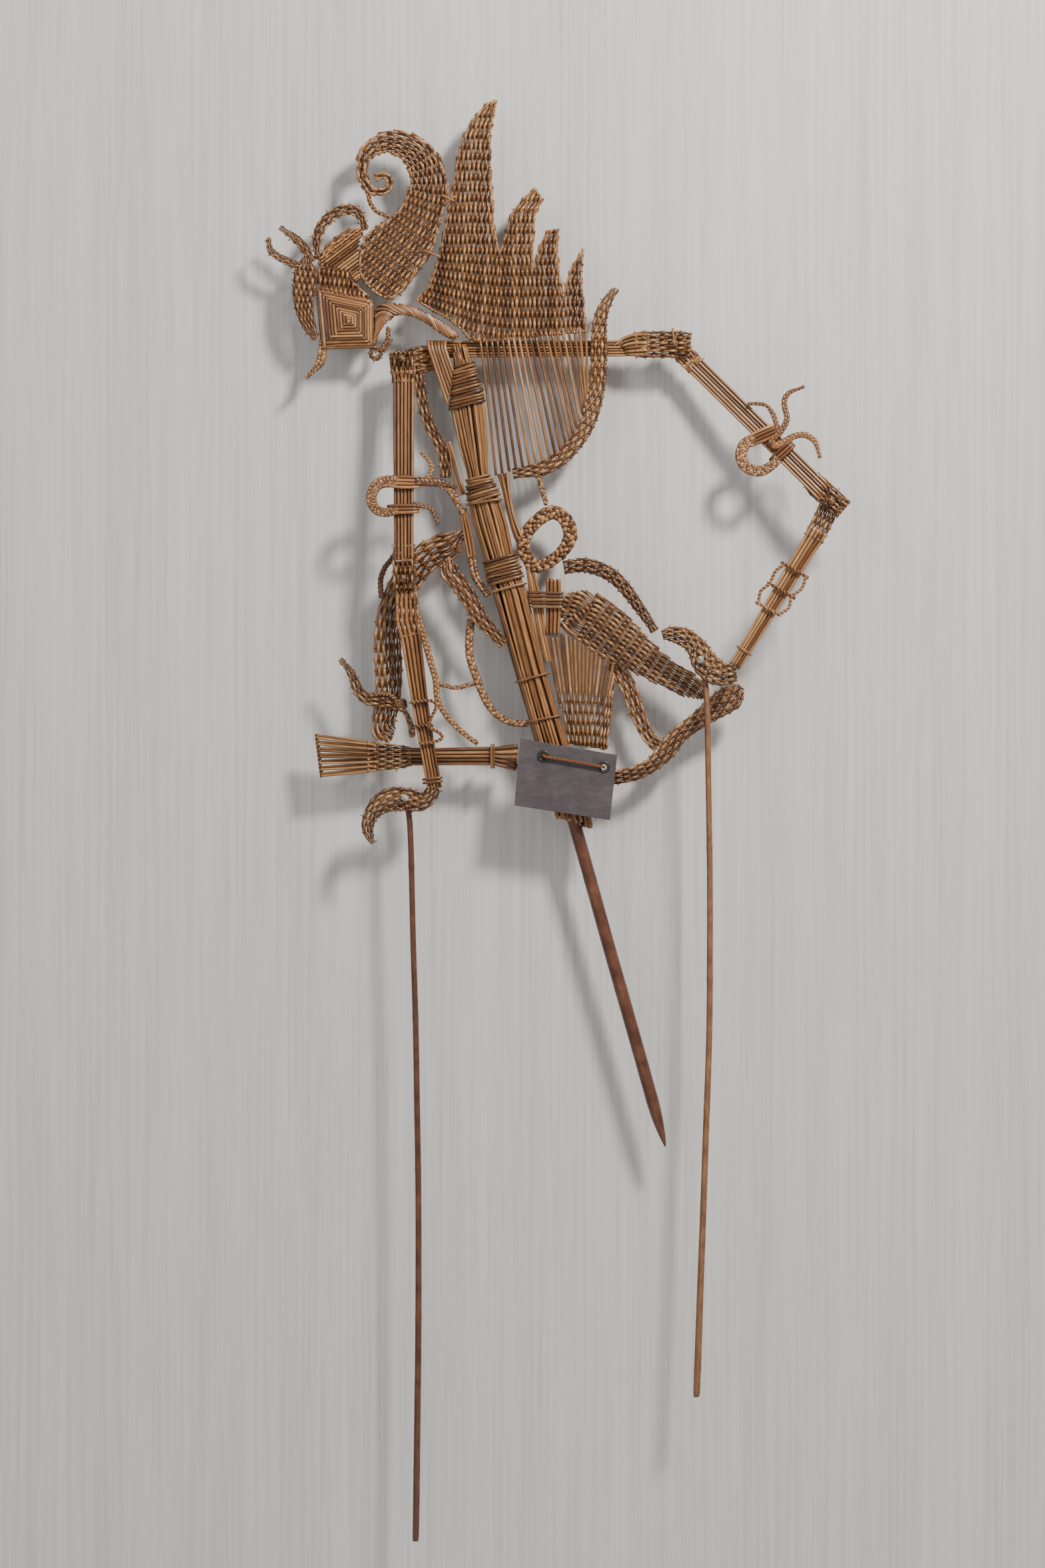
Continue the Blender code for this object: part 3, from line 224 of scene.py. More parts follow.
def stalks(node, strands, material="straw", sides=8):
    """The strands as one piece for this CAD node."""
    place(f"{node}_stalks", stalk_mesh(node, strands, sides), material, node)


# ---------------------------------------------------------------- the CAD solids

def cad_triangles(node):
    """A node's welded points in millimetres and its triangles."""
    mesh = frame["nodes"][node].data
    points = np.empty(len(mesh.vertices) * 3)
    mesh.vertices.foreach_get("co", points)
    points = points.reshape(-1, 3) / MM + GRIP
    points, index = np.unique(np.round(points, 2), axis=0, return_inverse=True)
    mesh.calc_loop_triangles()
    corners = np.empty(len(mesh.loop_triangles) * 3, int)
    mesh.loop_triangles.foreach_get("vertices", corners)
    return points, index.reshape(-1)[corners].reshape(-1, 3)


def chains(edges):
    """Closed loops of point numbers from directed edges."""
    following = {}
    for a, b in edges:
        following.setdefault(a, []).append(b)
    loops = []
    while following:
        first = next(iter(following))
        loop = [first]
        at = following[first].pop()
        if not following[first]:
            del following[first]
        while at != first and at in following:
            loop.append(at)
            here = at
            at = following[here].pop()
            if not following[here]:
                del following[here]
        if len(loop) > 2:
            loops.append(loop)
    return loops


class Plate:
    """A CAD slab's flat front at one level: its loops in XZ, its depth and the plane of its middle."""

    def __init__(self, loops, depth, lean, middle):
        self.loops = loops
        self.depth = depth
        self.lean = lean
        self.middle = middle

    def y(self, xz):
        """The height of the plate's middle above the XZ plane at (x, z) points."""
        return (self.middle - self.lean[0] * xz[:, 0] - self.lean[2] * xz[:, 1]) / self.lean[1]


def plates(node):
    """The slab's flat fronts, thickest first."""
    points, triangles = cad_triangles(node)
    corner = points[triangles]
    normal = np.cross(corner[:, 1] - corner[:, 0], corner[:, 2] - corner[:, 0])
    area = np.linalg.norm(normal, axis=1)
    facing = unit(normal)
    lean = unit(normal[facing[:, 1] < -0.96].sum(axis=0))
    tilt = facing @ lean
    distance = corner[:, 0] @ lean
    front = (tilt > 0.9995) & (area > 1e-4)
    middle = (distance[front].max() + distance[(tilt < -0.9995) & (area > 1e-4)].min()) / 2
    levels = []
    for value in np.unique(np.round(distance[front], 2)):
        if levels and value - levels[-1][-1] < 0.04:
            levels[-1].append(value)
        else:
            levels.append([value])
    found = []
    for level in levels[::-1]:
        chosen = front & (distance > level[0] - 0.02) & (distance < level[-1] + 0.02)
        directed = np.concatenate([triangles[chosen][:, [k, (k + 1) % 3]] for k in range(3)])
        edges = set(map(tuple, directed.tolist()))
        rim = [edge for edge in edges if edge[::-1] not in edges]
        loops = [points[loop][:, [0, 2]] for loop in chains(rim)]
        depth = 2 * (np.mean(level) - middle)
        for group in grouped(loops):
            found.append(Plate(group, depth, lean, middle))
    return found


def grouped(loops):
    """Outer loops, each with the holes inside it."""
    groups = []
    for loop in sorted(loops, key=lambda loop: -np.ptp(loop[:, 0]) * np.ptp(loop[:, 1])):
        home = next((group for group in groups if inside(loop[:1], group[:1])[0]), None)
        if home is None:
            groups.append([loop])
        else:
            home.append(loop)
    return groups


class Band:
    """A strip's middle line, the unit direction across it and its half width, at even spacing."""

    def __init__(self, left, right, plate=None, depth=None, y=0.0, closed=False):
        self.middle = (left + right) / 2
        self.across = unit(left - right)
        self.half = np.linalg.norm(left - right, axis=1) / 2
        self.far = lengths(self.middle)
        self.depth = depth if plate is None else plate.depth
        self.y = np.full(len(left), float(y)) if plate is None else plate.y(self.middle)
        self.loops = None if plate is None or closed else plate.loops
        self.closed = closed
        self.length = self.far[-1]
        if closed:
            self.length += np.linalg.norm(self.middle[0] - self.middle[-1])

    def at(self, share, lift):
        """Points across the band: share from -1 to 1 of its half width, lift above its middle plane."""
        return lifted(self.middle + self.across * (share * self.half)[:, None], self.y + lift)

    def runs(self, points):
        """Slices of the points that lie on the piece's outline or just past its ends."""
        if self.loops is None:
            return [slice(0, len(points))]
        return runs_of(covered(points[:, [0, 2]], self.loops, OVERLAP), 3)


def band_from_path(path, depth, y=0.0, step=0.9):
    """A Band along (x, z, width) or (x, z, width, y) points."""
    path = smooth(path, step)
    shift = normals_2d(path) * path[:, 2:3] / 2
    band = Band(path[:, :2] + shift, path[:, :2] - shift, depth=depth, y=y)
    if path.shape[1] > 3:
        band.y = path[:, 3]
    return band


def split_cost(ring, s, e):
    """The mean width of a band whose outline is cut at its points s and e."""
    total = len(ring)
    run = (e - s) % total
    samples = 20
    left = ring[(s + np.round(np.linspace(0, run, samples)).astype(int)) % total]
    right = ring[(s - np.round(np.linspace(0, total - run, samples)).astype(int)) % total]
    return np.linalg.norm(left - right, axis=1).mean()


def widths_across(middle, loops):
    """How far the outline is from a middle line, on its left and on its right."""
    normal = normals_2d(middle)[:, None]
    start = np.vstack(loops)
    run = (np.vstack([np.roll(loop, -1, 0) for loop in loops]) - start)[None]
    gap = start[None] - middle[:, None]
    facing = normal[..., 0] * run[..., 1] - normal[..., 1] * run[..., 0]
    facing = np.where(abs(facing) < 1e-9, 1e-9, facing)
    far = (gap[..., 0] * run[..., 1] - gap[..., 1] * run[..., 0]) / facing
    share = (gap[..., 0] * normal[..., 1] - gap[..., 1] * normal[..., 0]) / facing
    hit = (share >= 0) & (share <= 1)
    most = 40.0
    left = np.where(hit & (far > 0), far, most).min(axis=1)
    right = np.where(hit & (far < 0), -far, most).min(axis=1)
    return left, right


def evened(values, reach=4):
    """A running mean that keeps its ends."""
    padded = np.concatenate([np.repeat(values[:1], reach, 0), values, np.repeat(values[-1:], reach, 0)])
    window = np.lib.stride_tricks.sliding_window_view(padded, 2 * reach + 1, axis=0)
    return window.mean(axis=-1)


def crest(phase):
    """A wave that bends sharply where it turns, as a stalk does over a weft."""
    return np.arcsin(0.95 * np.cos(phase)) / math.asin(0.95)


def rounded(angle):
    """The (x, y) of a rounded square round the origin at these angles."""
    reach = (abs(np.cos(angle)) ** 3 + abs(np.sin(angle)) ** 3) ** (-1 / 3)
    return np.cos(angle) * reach, np.sin(angle) * reach


def band_of(plate):
    """A slab's outline as a band: its long sides give the middle line, which runs on past both ends."""
    outline, step = plate.loops[:1], 0.9
    coarse = resample(outline[0], lengths(outline[0])[-1] / 72, 2, True)
    total = len(coarse)
    pairs = [(s, (s + gap) % total) for s in range(total) for gap in range(total // 4, 3 * total // 4 + 1)
             if s < (s + gap) % total]
    s, e = min(pairs, key=lambda pair: split_cost(coarse, *pair))
    left = coarse[(s + np.arange((e - s) % total + 1)) % total]
    right = coarse[(s - np.arange(total - (e - s) % total + 1)) % total]
    count = max(int(lengths(left)[-1] / step), 8)
    left, right = (resample(side, lengths(side)[-1] / count, 2)[:count + 1] for side in (left, right))
    middle = evened((left + right) / 2)
    half = np.linalg.norm(left - right, axis=1) / 2
    far = lengths(middle)
    inner = (far > half[half > 0.4][0] * 0.9) & (far < far[-1] - half[half > 0.4][-1] * 0.9)
    middle = middle[inner] if inner.sum() > 5 else middle
    for _ in range(2):
        on_left, on_right = widths_across(middle, outline)
        shift = np.clip((on_left - on_right) / 2, -2, 2)
        middle = resample(evened(middle + normals_2d(middle) * shift[:, None]), step)
    on_left, on_right = widths_across(middle, outline)
    half = np.minimum((on_left + on_right) / 2, 2.5 * np.median(on_left + on_right))
    middle, half = run_on(middle, evened(half, 2), outline, step)
    shift = normals_2d(middle) * half[:, None]
    return Band(middle + shift, middle - shift, plate)


def run_on(middle, half, loops, step):
    """A middle line that runs straight on past both ends of an outline."""
    for _ in range(2):
        middle, half = middle[::-1], half[::-1]
        back = min(5, len(middle) - 1)
        stride = unit(middle[-1] - middle[-1 - back]) * step
        beyond = middle[-1] + stride * np.arange(1, 26)[:, None]
        count = int(np.argmin(np.r_[covered(beyond, loops), False]))
        count += int((half[-1] + OVERLAP) / step) + 1
        middle = np.vstack([middle, middle[-1] + stride * np.arange(1, count + 1)[:, None]])
        half = np.r_[half, np.repeat(half[-1], count)]
    return middle, half


def ring_band(plate):
    """A closed band between a slab's outline and its one hole."""
    outer, hole = (resample(loop, 0.5, 2, True) for loop in plate.loops[:2])
    centre = hole.mean(axis=0)
    angle = np.linspace(0, 2 * np.pi, max(int(lengths(outer)[-1] / 0.9), 24), endpoint=False)
    sides = []
    for loop in (outer, hole):
        around = loop - centre
        heading = np.arctan2(around[:, 1], around[:, 0])
        order = np.argsort(heading)
        far = np.interp(angle, heading[order], np.linalg.norm(around, axis=1)[order], period=2 * np.pi)
        sides.append(centre + np.stack([np.cos(angle), np.sin(angle)], axis=1) * far[:, None])
    return Band(*sides, plate, closed=True)


# ---------------------------------------------------------------- plaiting

def weave(band, count, row):
    """Stakes along a band that pass in front of and behind the wefts in turn, and the wefts."""
    made = []
    row = even_row(band, row)
    radius = np.maximum(band.half / count, 0.25) * 1.32
    lift = np.maximum(band.depth / 2 - radius * 0.75, 0.3)
    for j in range(count):
        share = -1 + (2 * j + 1) / count
        phase = np.pi * (band.far / row + j + 0.06 * RANDOM.normal())
        points = band.at(share + 0.1 / count * RANDOM.normal(), -lift * crest(phase))
        size = radius * RANDOM.uniform(0.92, 1.06)
        made += stake(points, size, phase, band.runs(points), closed=band.closed)
    for k in range(int(band.length / row) + 1):
        i = int(np.argmin(abs(band.far - k * row)))
        if band.half[i] > 0.8:
            made += weft_across(band, i, count, k, lift[i] * 0.3)
    return made


def even_row(band, row):
    """The row length nearest to this one that fits the band a whole number of times."""
    if band.closed:
        return band.length / (2 * max(round(band.length / row / 2), 1))
    return band.length / max(round(band.length / row), 1)


def stake(points, radius, phase, runs, held=1.0, closed=False):
    """The runs of one stake: thick where it shows, and thin and darkened with painted shade where a weft
    crosses it.
    """
    size = radius * (1 - 0.4 * held * np.sin(phase) ** 2)
    # painted shade, darkest where the weft crosses over the stake
    painted_shade = held * np.sin(phase) ** 4
    return [strand(points[run], size[run], 0.8, closed=closed, painted_shade=painted_shade[run]) for run in runs]


def even_weave(band, pitch, row, reach=OVERLAP):
    """A weave whose stakes keep one pitch, so that they end at the outline where the band narrows."""
    made, rows = [], {}
    count = int(2 * band.half.max() / pitch)
    radius = pitch * 0.68
    lift = max(band.depth / 2 - radius * 0.75, 0.3)
    for j in range(count):
        offset = (j + 0.5 - count / 2) * pitch
        phase = np.pi * (band.far / row + j + 0.06 * RANDOM.normal())
        points = band.at(offset / np.maximum(band.half, 0.2), -lift * crest(phase))
        points[:, 0] += 0.08 * RANDOM.normal()
        kept = abs(offset) < band.half + reach
        kept &= covered(points[:, [0, 2]], band.loops, reach)
        made += stake(points, radius * RANDOM.uniform(0.93, 1.05), phase, runs_of(kept, 3))
        note_rows(rows, j, band.far / row, points, band.y, kept)
    return made + wefts_through(rows, lift)


def note_rows(rows, j, height, points, middle, kept, most=99):
    """Adds to each weft's row the (number, point, middle height) where stake j passes it."""
    for k in range(min(int(height[-1]) + 1, most)):
        i = int(np.argmin(abs(height - k)))
        if kept[i]:
            rows.setdefault(k, []).append((j, points[i], middle[i]))


def wefts_through(rows, lift):
    """The wefts of a weave whose stakes were noted in rows."""
    groups = ((k, group) for k, found in rows.items() for group in neighbours(found))
    return [weft_through(group, k, 0.25 * lift) for k, group in groups if len(group) > 1]


def weft_through(group, k, lift):
    """One thin stalk through the (number, point, middle height) places of neighbouring stakes."""
    numbers, line, middle = (np.array(column) for column in zip(*group))
    line[:, 1] = middle + lift * np.cos(np.pi * (k + numbers))
    line = np.vstack([line[0] + (line[0] - line[1]) * RANDOM.uniform(0.3, 0.9), line,
                      line[-1] + (line[-1] - line[-2]) * RANDOM.uniform(0.3, 0.9)])
    return strand(smooth(line, 0.8, 3), WEFT, 0.9, ref=(0.1, 0.05, 1), shade=RANDOM.uniform(0.1, 0.6))


def weft_across(band, i, count, k, lift):
    """One thin stalk across a band at its point i, cut off just past its edges."""
    stubs = RANDOM.uniform(0.3, 1.5, 2) * (RANDOM.random(2) < 0.6) / band.half[i]
    share = np.linspace(-1 - stubs[0], 1 + stubs[1], count * 3 + 3)
    stake_number = (share + 1) * count / 2 - 0.5
    points = lifted(band.middle[i] + band.across[i] * (share * band.half[i])[:, None],
                    band.y[i] + lift * np.cos(np.pi * (stake_number + k)))
    along = np.array([-band.across[i][1], 0, band.across[i][0]])
    return [strand(points[run], WEFT, 0.9, ref=along, shade=RANDOM.uniform(0.1, 0.6))
            for run in band.runs(points)]


def braid(band, count, wave):
    """A flat plait of a few strands that cross from side to side."""
    made = []
    flat = 0.75
    turns = max(round(band.length / wave), 1) if band.closed else band.length / wave
    radius = np.maximum(band.half * 1.55 / count, 0.35)
    lift = np.maximum(band.depth / 2 - radius * flat, 0.12)
    for j in range(count):
        phase = 2 * np.pi * (band.far / band.length * turns + j / count)
        share = (1 - np.clip(radius / np.maximum(band.half, 0.01), 0, 0.9)) * np.sin(phase)
        crossing = (count - 1) * phase
        points = band.at(share, -lift * np.sin(crossing))
        size = radius * (1 + 0.06 * RANDOM.normal())
        # painted shade, darkest where the strands cross one another
        painted_shade = 0.8 * np.cos(crossing) ** 4
        made += [strand(points[run], size[run], flat, closed=band.closed, painted_shade=painted_shade[run])
                 for run in band.runs(points)]
    return made


def slanted(band, pitch, shift, radius):
    """Long strands laid aslant across a band, one way in front and the other way behind."""
    made = []
    t = np.linspace(0, 1, 9)
    columns = (*band.middle.T, *band.across.T, band.half, band.y)
    for side, lean in ((-1, 1), (1, -1)):
        for start in np.arange(-shift, band.length, pitch):
            far = start + shift * t + 0.3 * RANDOM.normal()
            x, z, ax, az, half, y = (np.interp(far, band.far, column) for column in columns)
            out = lean * (1.02 - 2.04 * t) * (1 - radius / np.maximum(half, 2 * radius)) * half
            lift = side * (band.depth / 2 - radius * 0.9) * (1 - 0.5 * t ** 4)
            points = np.stack([x + ax * out, y + lift, z + az * out], axis=1)
            inner = (far > -0.5) & (far < band.length + 0.5)
            for run in runs_of(inner & covered(points[:, [0, 2]], band.loops, OVERLAP), 4):
                size = radius * (0.7 + 0.3 * np.sin(np.pi * t[run])) * RANDOM.uniform(0.9, 1.06)
                # painted shade, darker towards both ends of each strand at the band's edges
                made.append(strand(points[run], size, 0.7, painted_shade=0.6 * abs(2 * t[run] - 1) ** 6))
    return made


def sheaf(path, count, depth=LIMB, fray=1.5):
    """A flat bundle of straight stalks in two layers, along (x, z, width, y) points."""
    band = band_from_path(path, depth, step=3.0)
    made = []
    spread = 0.05
    radius = band.half / count
    lift = np.maximum(band.depth / 2 - radius, 0.05)
    for aside, side in ((0, -1), (1, 1)):
        for j in range(count - aside):
            share = -1 + (2 * j + 1 + aside) / count + spread * RANDOM.normal() / count
            drift = 2 * spread * RANDOM.normal()
            bend = np.sin(band.far / band.length * np.pi * RANDOM.uniform(0.6, 2))
            points = band.at(share + drift * bend / count, lift * side + 0.08 * RANDOM.normal())
            points = trimmed(points, RANDOM.uniform(0, fray), RANDOM.uniform(0, fray))
            made.append(strand(points, radius * RANDOM.uniform(0.80, 0.94), 0.92))
    return made


def straight(band, count):
    """Plain stalks side by side along a band, in two layers."""
    made = []
    radius = np.maximum(band.half / count, 0.3).mean()
    lift = np.maximum(band.depth / 2 - radius, 0.05)
    for side in (-1, 1):
        for j in range(count):
            share = -1 + (2 * j + 1) / count
            points = band.at(share + 0.06 * RANDOM.normal() / count, lift * side)
            for run in band.runs(points):
                made.append(strand(points[run], radius * RANDOM.uniform(0.92, 1.05), 0.95))
    return made


def trimmed(points, head, tail):
    """The polyline's points, with its ends pulled in by these lengths."""
    points = points.copy()
    for end, inner, cut in ((0, 1, head), (-1, -2, tail)):
        run = points[inner] - points[end]
        points[end] = points[end] + run * min(cut / max(np.linalg.norm(run), 1e-6), 0.9)
    return points


def fan(plate, feet, heads, count, row, radius, wefts=99):
    """Stakes that spread from a line of feet towards a line of heads, and the wefts across them."""
    made, rows = [], {}
    lift = max(plate.depth / 2 - radius * 0.75, 0.3)
    feet, heads = (resample(line, 1.0, 2) for line in (feet, heads))
    for j in range(count):
        share = (j + 0.5) / count
        ends = [[np.interp(share, np.linspace(0, 1, len(line)), column) for column in line.T]
                for line in (feet, heads)]
        xz = resample(ends, 0.8, 2)
        height = lengths(xz) / row
        held = np.clip(wefts + 0.5 - height, 0, 1)
        phase = np.pi * (height + j)
        middle = plate.y(xz)
        points = lifted(xz, middle - lift * held * crest(phase))
        kept = covered(xz, plate.loops, 0.5)
        made += stake(points, radius * RANDOM.uniform(0.92, 1.06), phase, runs_of(kept, 4), held)
        note_rows(rows, j, height, points, middle, kept, wefts)
    return made + wefts_through(rows, lift)


def runs_of(kept, least):
    """Slices of neighbouring kept points, each with at least so many."""
    edges = np.flatnonzero(np.diff(np.r_[0, kept.astype(int), 0]))
    return [slice(a, b) for a, b in zip(edges[::2], edges[1::2]) if b - a >= least]


def neighbours(items):
    """Items (number, point, ...) in groups of successive numbers that lie near one another."""
    groups = [[items[0]]]
    for item in items[1:]:
        last = groups[-1][-1]
        if item[0] - last[0] == 1 and np.linalg.norm(item[1] - last[1]) < 5:
            groups[-1].append(item)
        else:
            groups.append([item])
    return groups


def edging(plate, radius):
    """A stalk laid along an outline, just inside it."""
    path = resample(plate.loops[0], 1.2, 2, True)
    shift = normals_2d(path, True) * radius
    if not inside(path[:1] + shift[:1] * 1.2, plate.loops)[0]:
        shift = -shift
    path = path + shift
    return strand(lifted(path, plate.y(path)), radius, 0.95, closed=True)


def hoop(section, radius, heading):
    """A stalk tied round a closed section."""
    return strand(resample(section, 0.9, 3, True), radius, 0.9, ref=heading, closed=True)


def knot(centre, size, turns, radius):
    """A small coil of wraps that cross over the middle of a tie."""
    made = []
    t = np.linspace(0, 2 * np.pi, 28, endpoint=False)
    for k in range(turns):
        angle = np.pi * k / turns + RANDOM.uniform(-0.2, 0.2)
        wide, deep = size * RANDOM.uniform(0.8, 1.0), size * 0.5
        loop = np.stack([wide * np.cos(t) * np.cos(angle), -deep * np.sin(t) * (0.6 + 0.1 * k),
                         wide * np.cos(t) * np.sin(angle)], axis=1)
        ref = (-math.sin(angle), 0, math.cos(angle))
        made.append(strand(centre + loop, radius, 0.9, ref=ref, closed=True))
    return made


def twisted(line, radius, wave):
    """A cord of two strands turning round an (x, y, z) line."""
    line = resample(line, max(wave / 10, 0.35), 3)
    ahead = unit(np.gradient(line, axis=0))
    side = np.cross(ahead[0], (0.3, 0.5, 0.8))
    sides = []
    for direction in ahead:
        side = unit(side - direction * (side @ direction))
        sides.append(side)
    sides = np.array(sides)
    ups = np.cross(ahead, sides)
    made = []
    for turn in (0, np.pi):
        phase = (2 * np.pi * lengths(line) / wave + turn)[:, None]
        out = np.cos(phase) * sides + np.sin(phase) * ups
        made.append(strand(line + out * radius * 0.5, radius * 0.55, 1.0, ref=out))
    return made


# ---------------------------------------------------------------- materials

MATERIAL = {}


class Graph:
    """A material's node tree, with short calls for the nodes used here."""

    def __init__(self, name):
        self.material = bpy.data.materials.new(name)
        self.material.use_nodes = True
        self.nodes = self.material.node_tree.nodes
        self.links = self.material.node_tree.links
        self.shader = self.nodes["Principled BSDF"]
        MATERIAL[name] = self.material

    def node(self, kind, inputs=None, **settings):
        made = self.nodes.new(kind)
        for key, value in settings.items():
            setattr(made, key, value)
        for key, value in (inputs or {}).items():
            self.feed(made.inputs[key], value)
        return made

    def feed(self, socket, value):
        if isinstance(value, bpy.types.NodeSocket):
            self.links.new(value, socket)
        else:
            socket.default_value = value

    def math(self, operation, a, b=0.0, clamp=False):
        return self.node("ShaderNodeMath", {0: a, 1: b}, operation=operation, use_clamp=clamp).outputs[0]

    def add(self, a, b):
        return self.math("ADD", a, b)

    def minus(self, a, b):
        return self.math("SUBTRACT", a, b)

    def times(self, a, b):
        return self.math("MULTIPLY", a, b)

    def place(self, scale=(1, 1, 1)):
        """A point's place in its object's own space, stretched by a scale."""
        own = self.node("ShaderNodeTexCoord").outputs["Object"]
        return self.node("ShaderNodeMapping", {"Vector": own, "Scale": scale}).outputs[0]

    def noise(self, vector, scale, detail, roughness=0.6):
        inputs = {"Vector": vector, "Scale": scale, "Detail": detail, "Roughness": roughness}
        return self.node("ShaderNodeTexNoise", inputs).outputs["Fac"]

    def ramp(self, factor, stops):
        made = self.node("ShaderNodeValToRGB", {"Fac": factor})
        ramp = made.color_ramp
        while len(ramp.elements) < len(stops):
            ramp.elements.new(0.5)
        for element, (position, colour) in zip(ramp.elements, stops):
            element.position = position
            element.color = (*colour, 1)
        return made.outputs["Color"]

    def remap(self, value, low, high):
        made = self.node("ShaderNodeMapRange", {"Value": value, "To Min": low, "To Max": high})
        return made.outputs["Result"]

    def vector(self, x, y, z):
        return self.node("ShaderNodeCombineXYZ", {"X": x, "Y": y, "Z": z}).outputs[0]

    def split(self, name):
        """The three parts of a stored vector."""
        made = self.node("ShaderNodeAttribute", attribute_name=name)
        parts = self.node("ShaderNodeSeparateXYZ", {"Vector": made.outputs["Vector"]})
        return parts.outputs["X"], parts.outputs["Y"], parts.outputs["Z"]

    def bump(self, height, strength, distance):
        made = self.node("ShaderNodeBump", {"Height": height, "Strength": strength, "Distance": distance})
        self.links.new(made.outputs["Normal"], self.shader.inputs["Normal"])

    def finish(self, colour, roughness, coat=0.0, specular=0.5):
        self.feed(self.shader.inputs["Base Color"], colour)
        self.feed(self.shader.inputs["Roughness"], roughness)
        self.shader.inputs["Coat Weight"].default_value = coat
        self.shader.inputs["Coat Roughness"].default_value = 0.3
        self.shader.inputs["Specular IOR Level"].default_value = specular


def stalk_material(name, stops, gloss, coat, fibres=11.0, mottle=0.5, edge=0.5):
    """Dried stalk: long fibres, blotches along its length and its own shade, with painted shade down its
    sides (as strong as edge) and where other stalks cross it.
    """
    g = Graph(name)
    along, shade, painted_shade = g.split("stalk")
    cosine, sine, _ = g.split("turn")
    shift = g.times(shade, 53.0)

    def grain(stretch, around, *settings):
        """Noise drawn out along the stalk, different for each one."""
        far = g.add(g.times(along, stretch), shift)
        return g.noise(g.vector(far, g.times(cosine, around), g.times(sine, around)), 1.0, *settings)

    blotch = grain(0.11, 0.5, 3.0)
    fibre = grain(0.05, fibres / 4, 4.0, 0.7)
    tone = g.add(g.times(shade, 1 - mottle), g.times(blotch, mottle))
    tone = g.add(tone, g.times(g.minus(fibre, 0.5), 0.55))
    tone = g.math("ADD", g.times(g.minus(tone, 0.5), 1.45), 0.5, clamp=True)
    # painted shade down the sides of each stalk, where it meets its neighbours, as strong as edge
    beside = g.times(g.math("POWER", g.math("ABSOLUTE", cosine), 3.0), edge)
    # this factor also darkens with the stored painted shade where other stalks cross over the stalk
    painted_shade_factor = g.times(g.minus(1.0, beside), g.minus(1.0, g.times(painted_shade, 0.38)))
    shaded = g.node("ShaderNodeVectorMath", {0: g.ramp(tone, stops), "Scale": painted_shade_factor}, operation="SCALE")
    g.bump(g.add(fibre, g.times(blotch, 0.6)), 0.45, 0.00022)
    g.finish(shaded.outputs[0], g.remap(fibre, *gloss), coat)


def make_materials():
    # edge sets the strength of the painted shade down the sides of each stalk
    stalk_material("straw", [
        (0.0, (0.060, 0.020, 0.006)), (0.3, (0.165, 0.063, 0.018)), (0.55, (0.285, 0.120, 0.036)),
        (0.8, (0.41, 0.198, 0.072)), (1.0, (0.54, 0.315, 0.15))], (0.22, 0.40), 0.3, edge=0.66)
    stalk_material("woven_straw", [
        (0.0, (0.060, 0.019, 0.006)), (0.3, (0.165, 0.062, 0.018)), (0.55, (0.30, 0.124, 0.037)),
        (0.8, (0.44, 0.208, 0.076)), (1.0, (0.58, 0.335, 0.155))], (0.22, 0.40), 0.35, edge=0.62)
    stalk_material("dark_wood", [
        (0.0, (0.035, 0.010, 0.005)), (0.35, (0.085, 0.026, 0.012)), (0.65, (0.15, 0.052, 0.023)),
        (1.0, (0.26, 0.105, 0.05))], (0.25, 0.45), 0.25, 22.0, 0.8)
    stalk_material("light_wood", [
        (0.0, (0.09, 0.034, 0.014)), (0.4, (0.20, 0.085, 0.035)), (0.7, (0.30, 0.14, 0.06)),
        (1.0, (0.42, 0.22, 0.11))], (0.3, 0.5), 0.2, 22.0, 0.8)
    stalk_material("thread", [
        (0.0, (0.30, 0.29, 0.25)), (0.5, (0.55, 0.54, 0.49)), (1.0, (0.75, 0.74, 0.69))],
        (0.75, 0.95), 0.0, 30.0, 0.6)
    stalk_material("cord", [
        (0.0, (0.10, 0.026, 0.010)), (0.5, (0.27, 0.085, 0.032)), (1.0, (0.46, 0.19, 0.08))],
        (0.7, 0.9), 0.0, 34.0, 0.7)
    painted_board()
    eyelet_black()
    wall_material()
    floor_material()


def painted_board():
    """Matt grey-purple paint with brushed clouds, fine dust and wear."""
    g = Graph("painted_board")
    cloud = g.noise(g.place(), 60.0, 4.0)
    streaks = g.noise(g.place((160, 160, 900)), 1.0, 4.0)
    grit = g.noise(g.place(), 2500.0, 2.0)
    tone = g.add(g.times(cloud, 0.6), g.times(streaks, 0.4))
    tone = g.add(tone, g.times(g.minus(grit, 0.5), 0.25))
    paint = [(0.25, (0.040, 0.031, 0.034)), (0.5, (0.078, 0.062, 0.066)), (0.75, (0.125, 0.102, 0.106))]
    g.bump(g.add(grit, streaks), 0.35, 0.00015)
    g.finish(g.ramp(tone, paint), g.remap(cloud, 0.5, 0.72), 0.0, 0.35)


def eyelet_black():
    """Black moulded rings, slightly scuffed."""
    g = Graph("eyelet_black")
    scuff = g.noise(g.place(), 900.0, 4.0)
    g.bump(scuff, 0.2, 0.0001)
    black = [(0.3, (0.008, 0.008, 0.009)), (0.8, (0.045, 0.042, 0.042))]
    g.finish(g.ramp(scuff, black), g.remap(scuff, 0.25, 0.5))


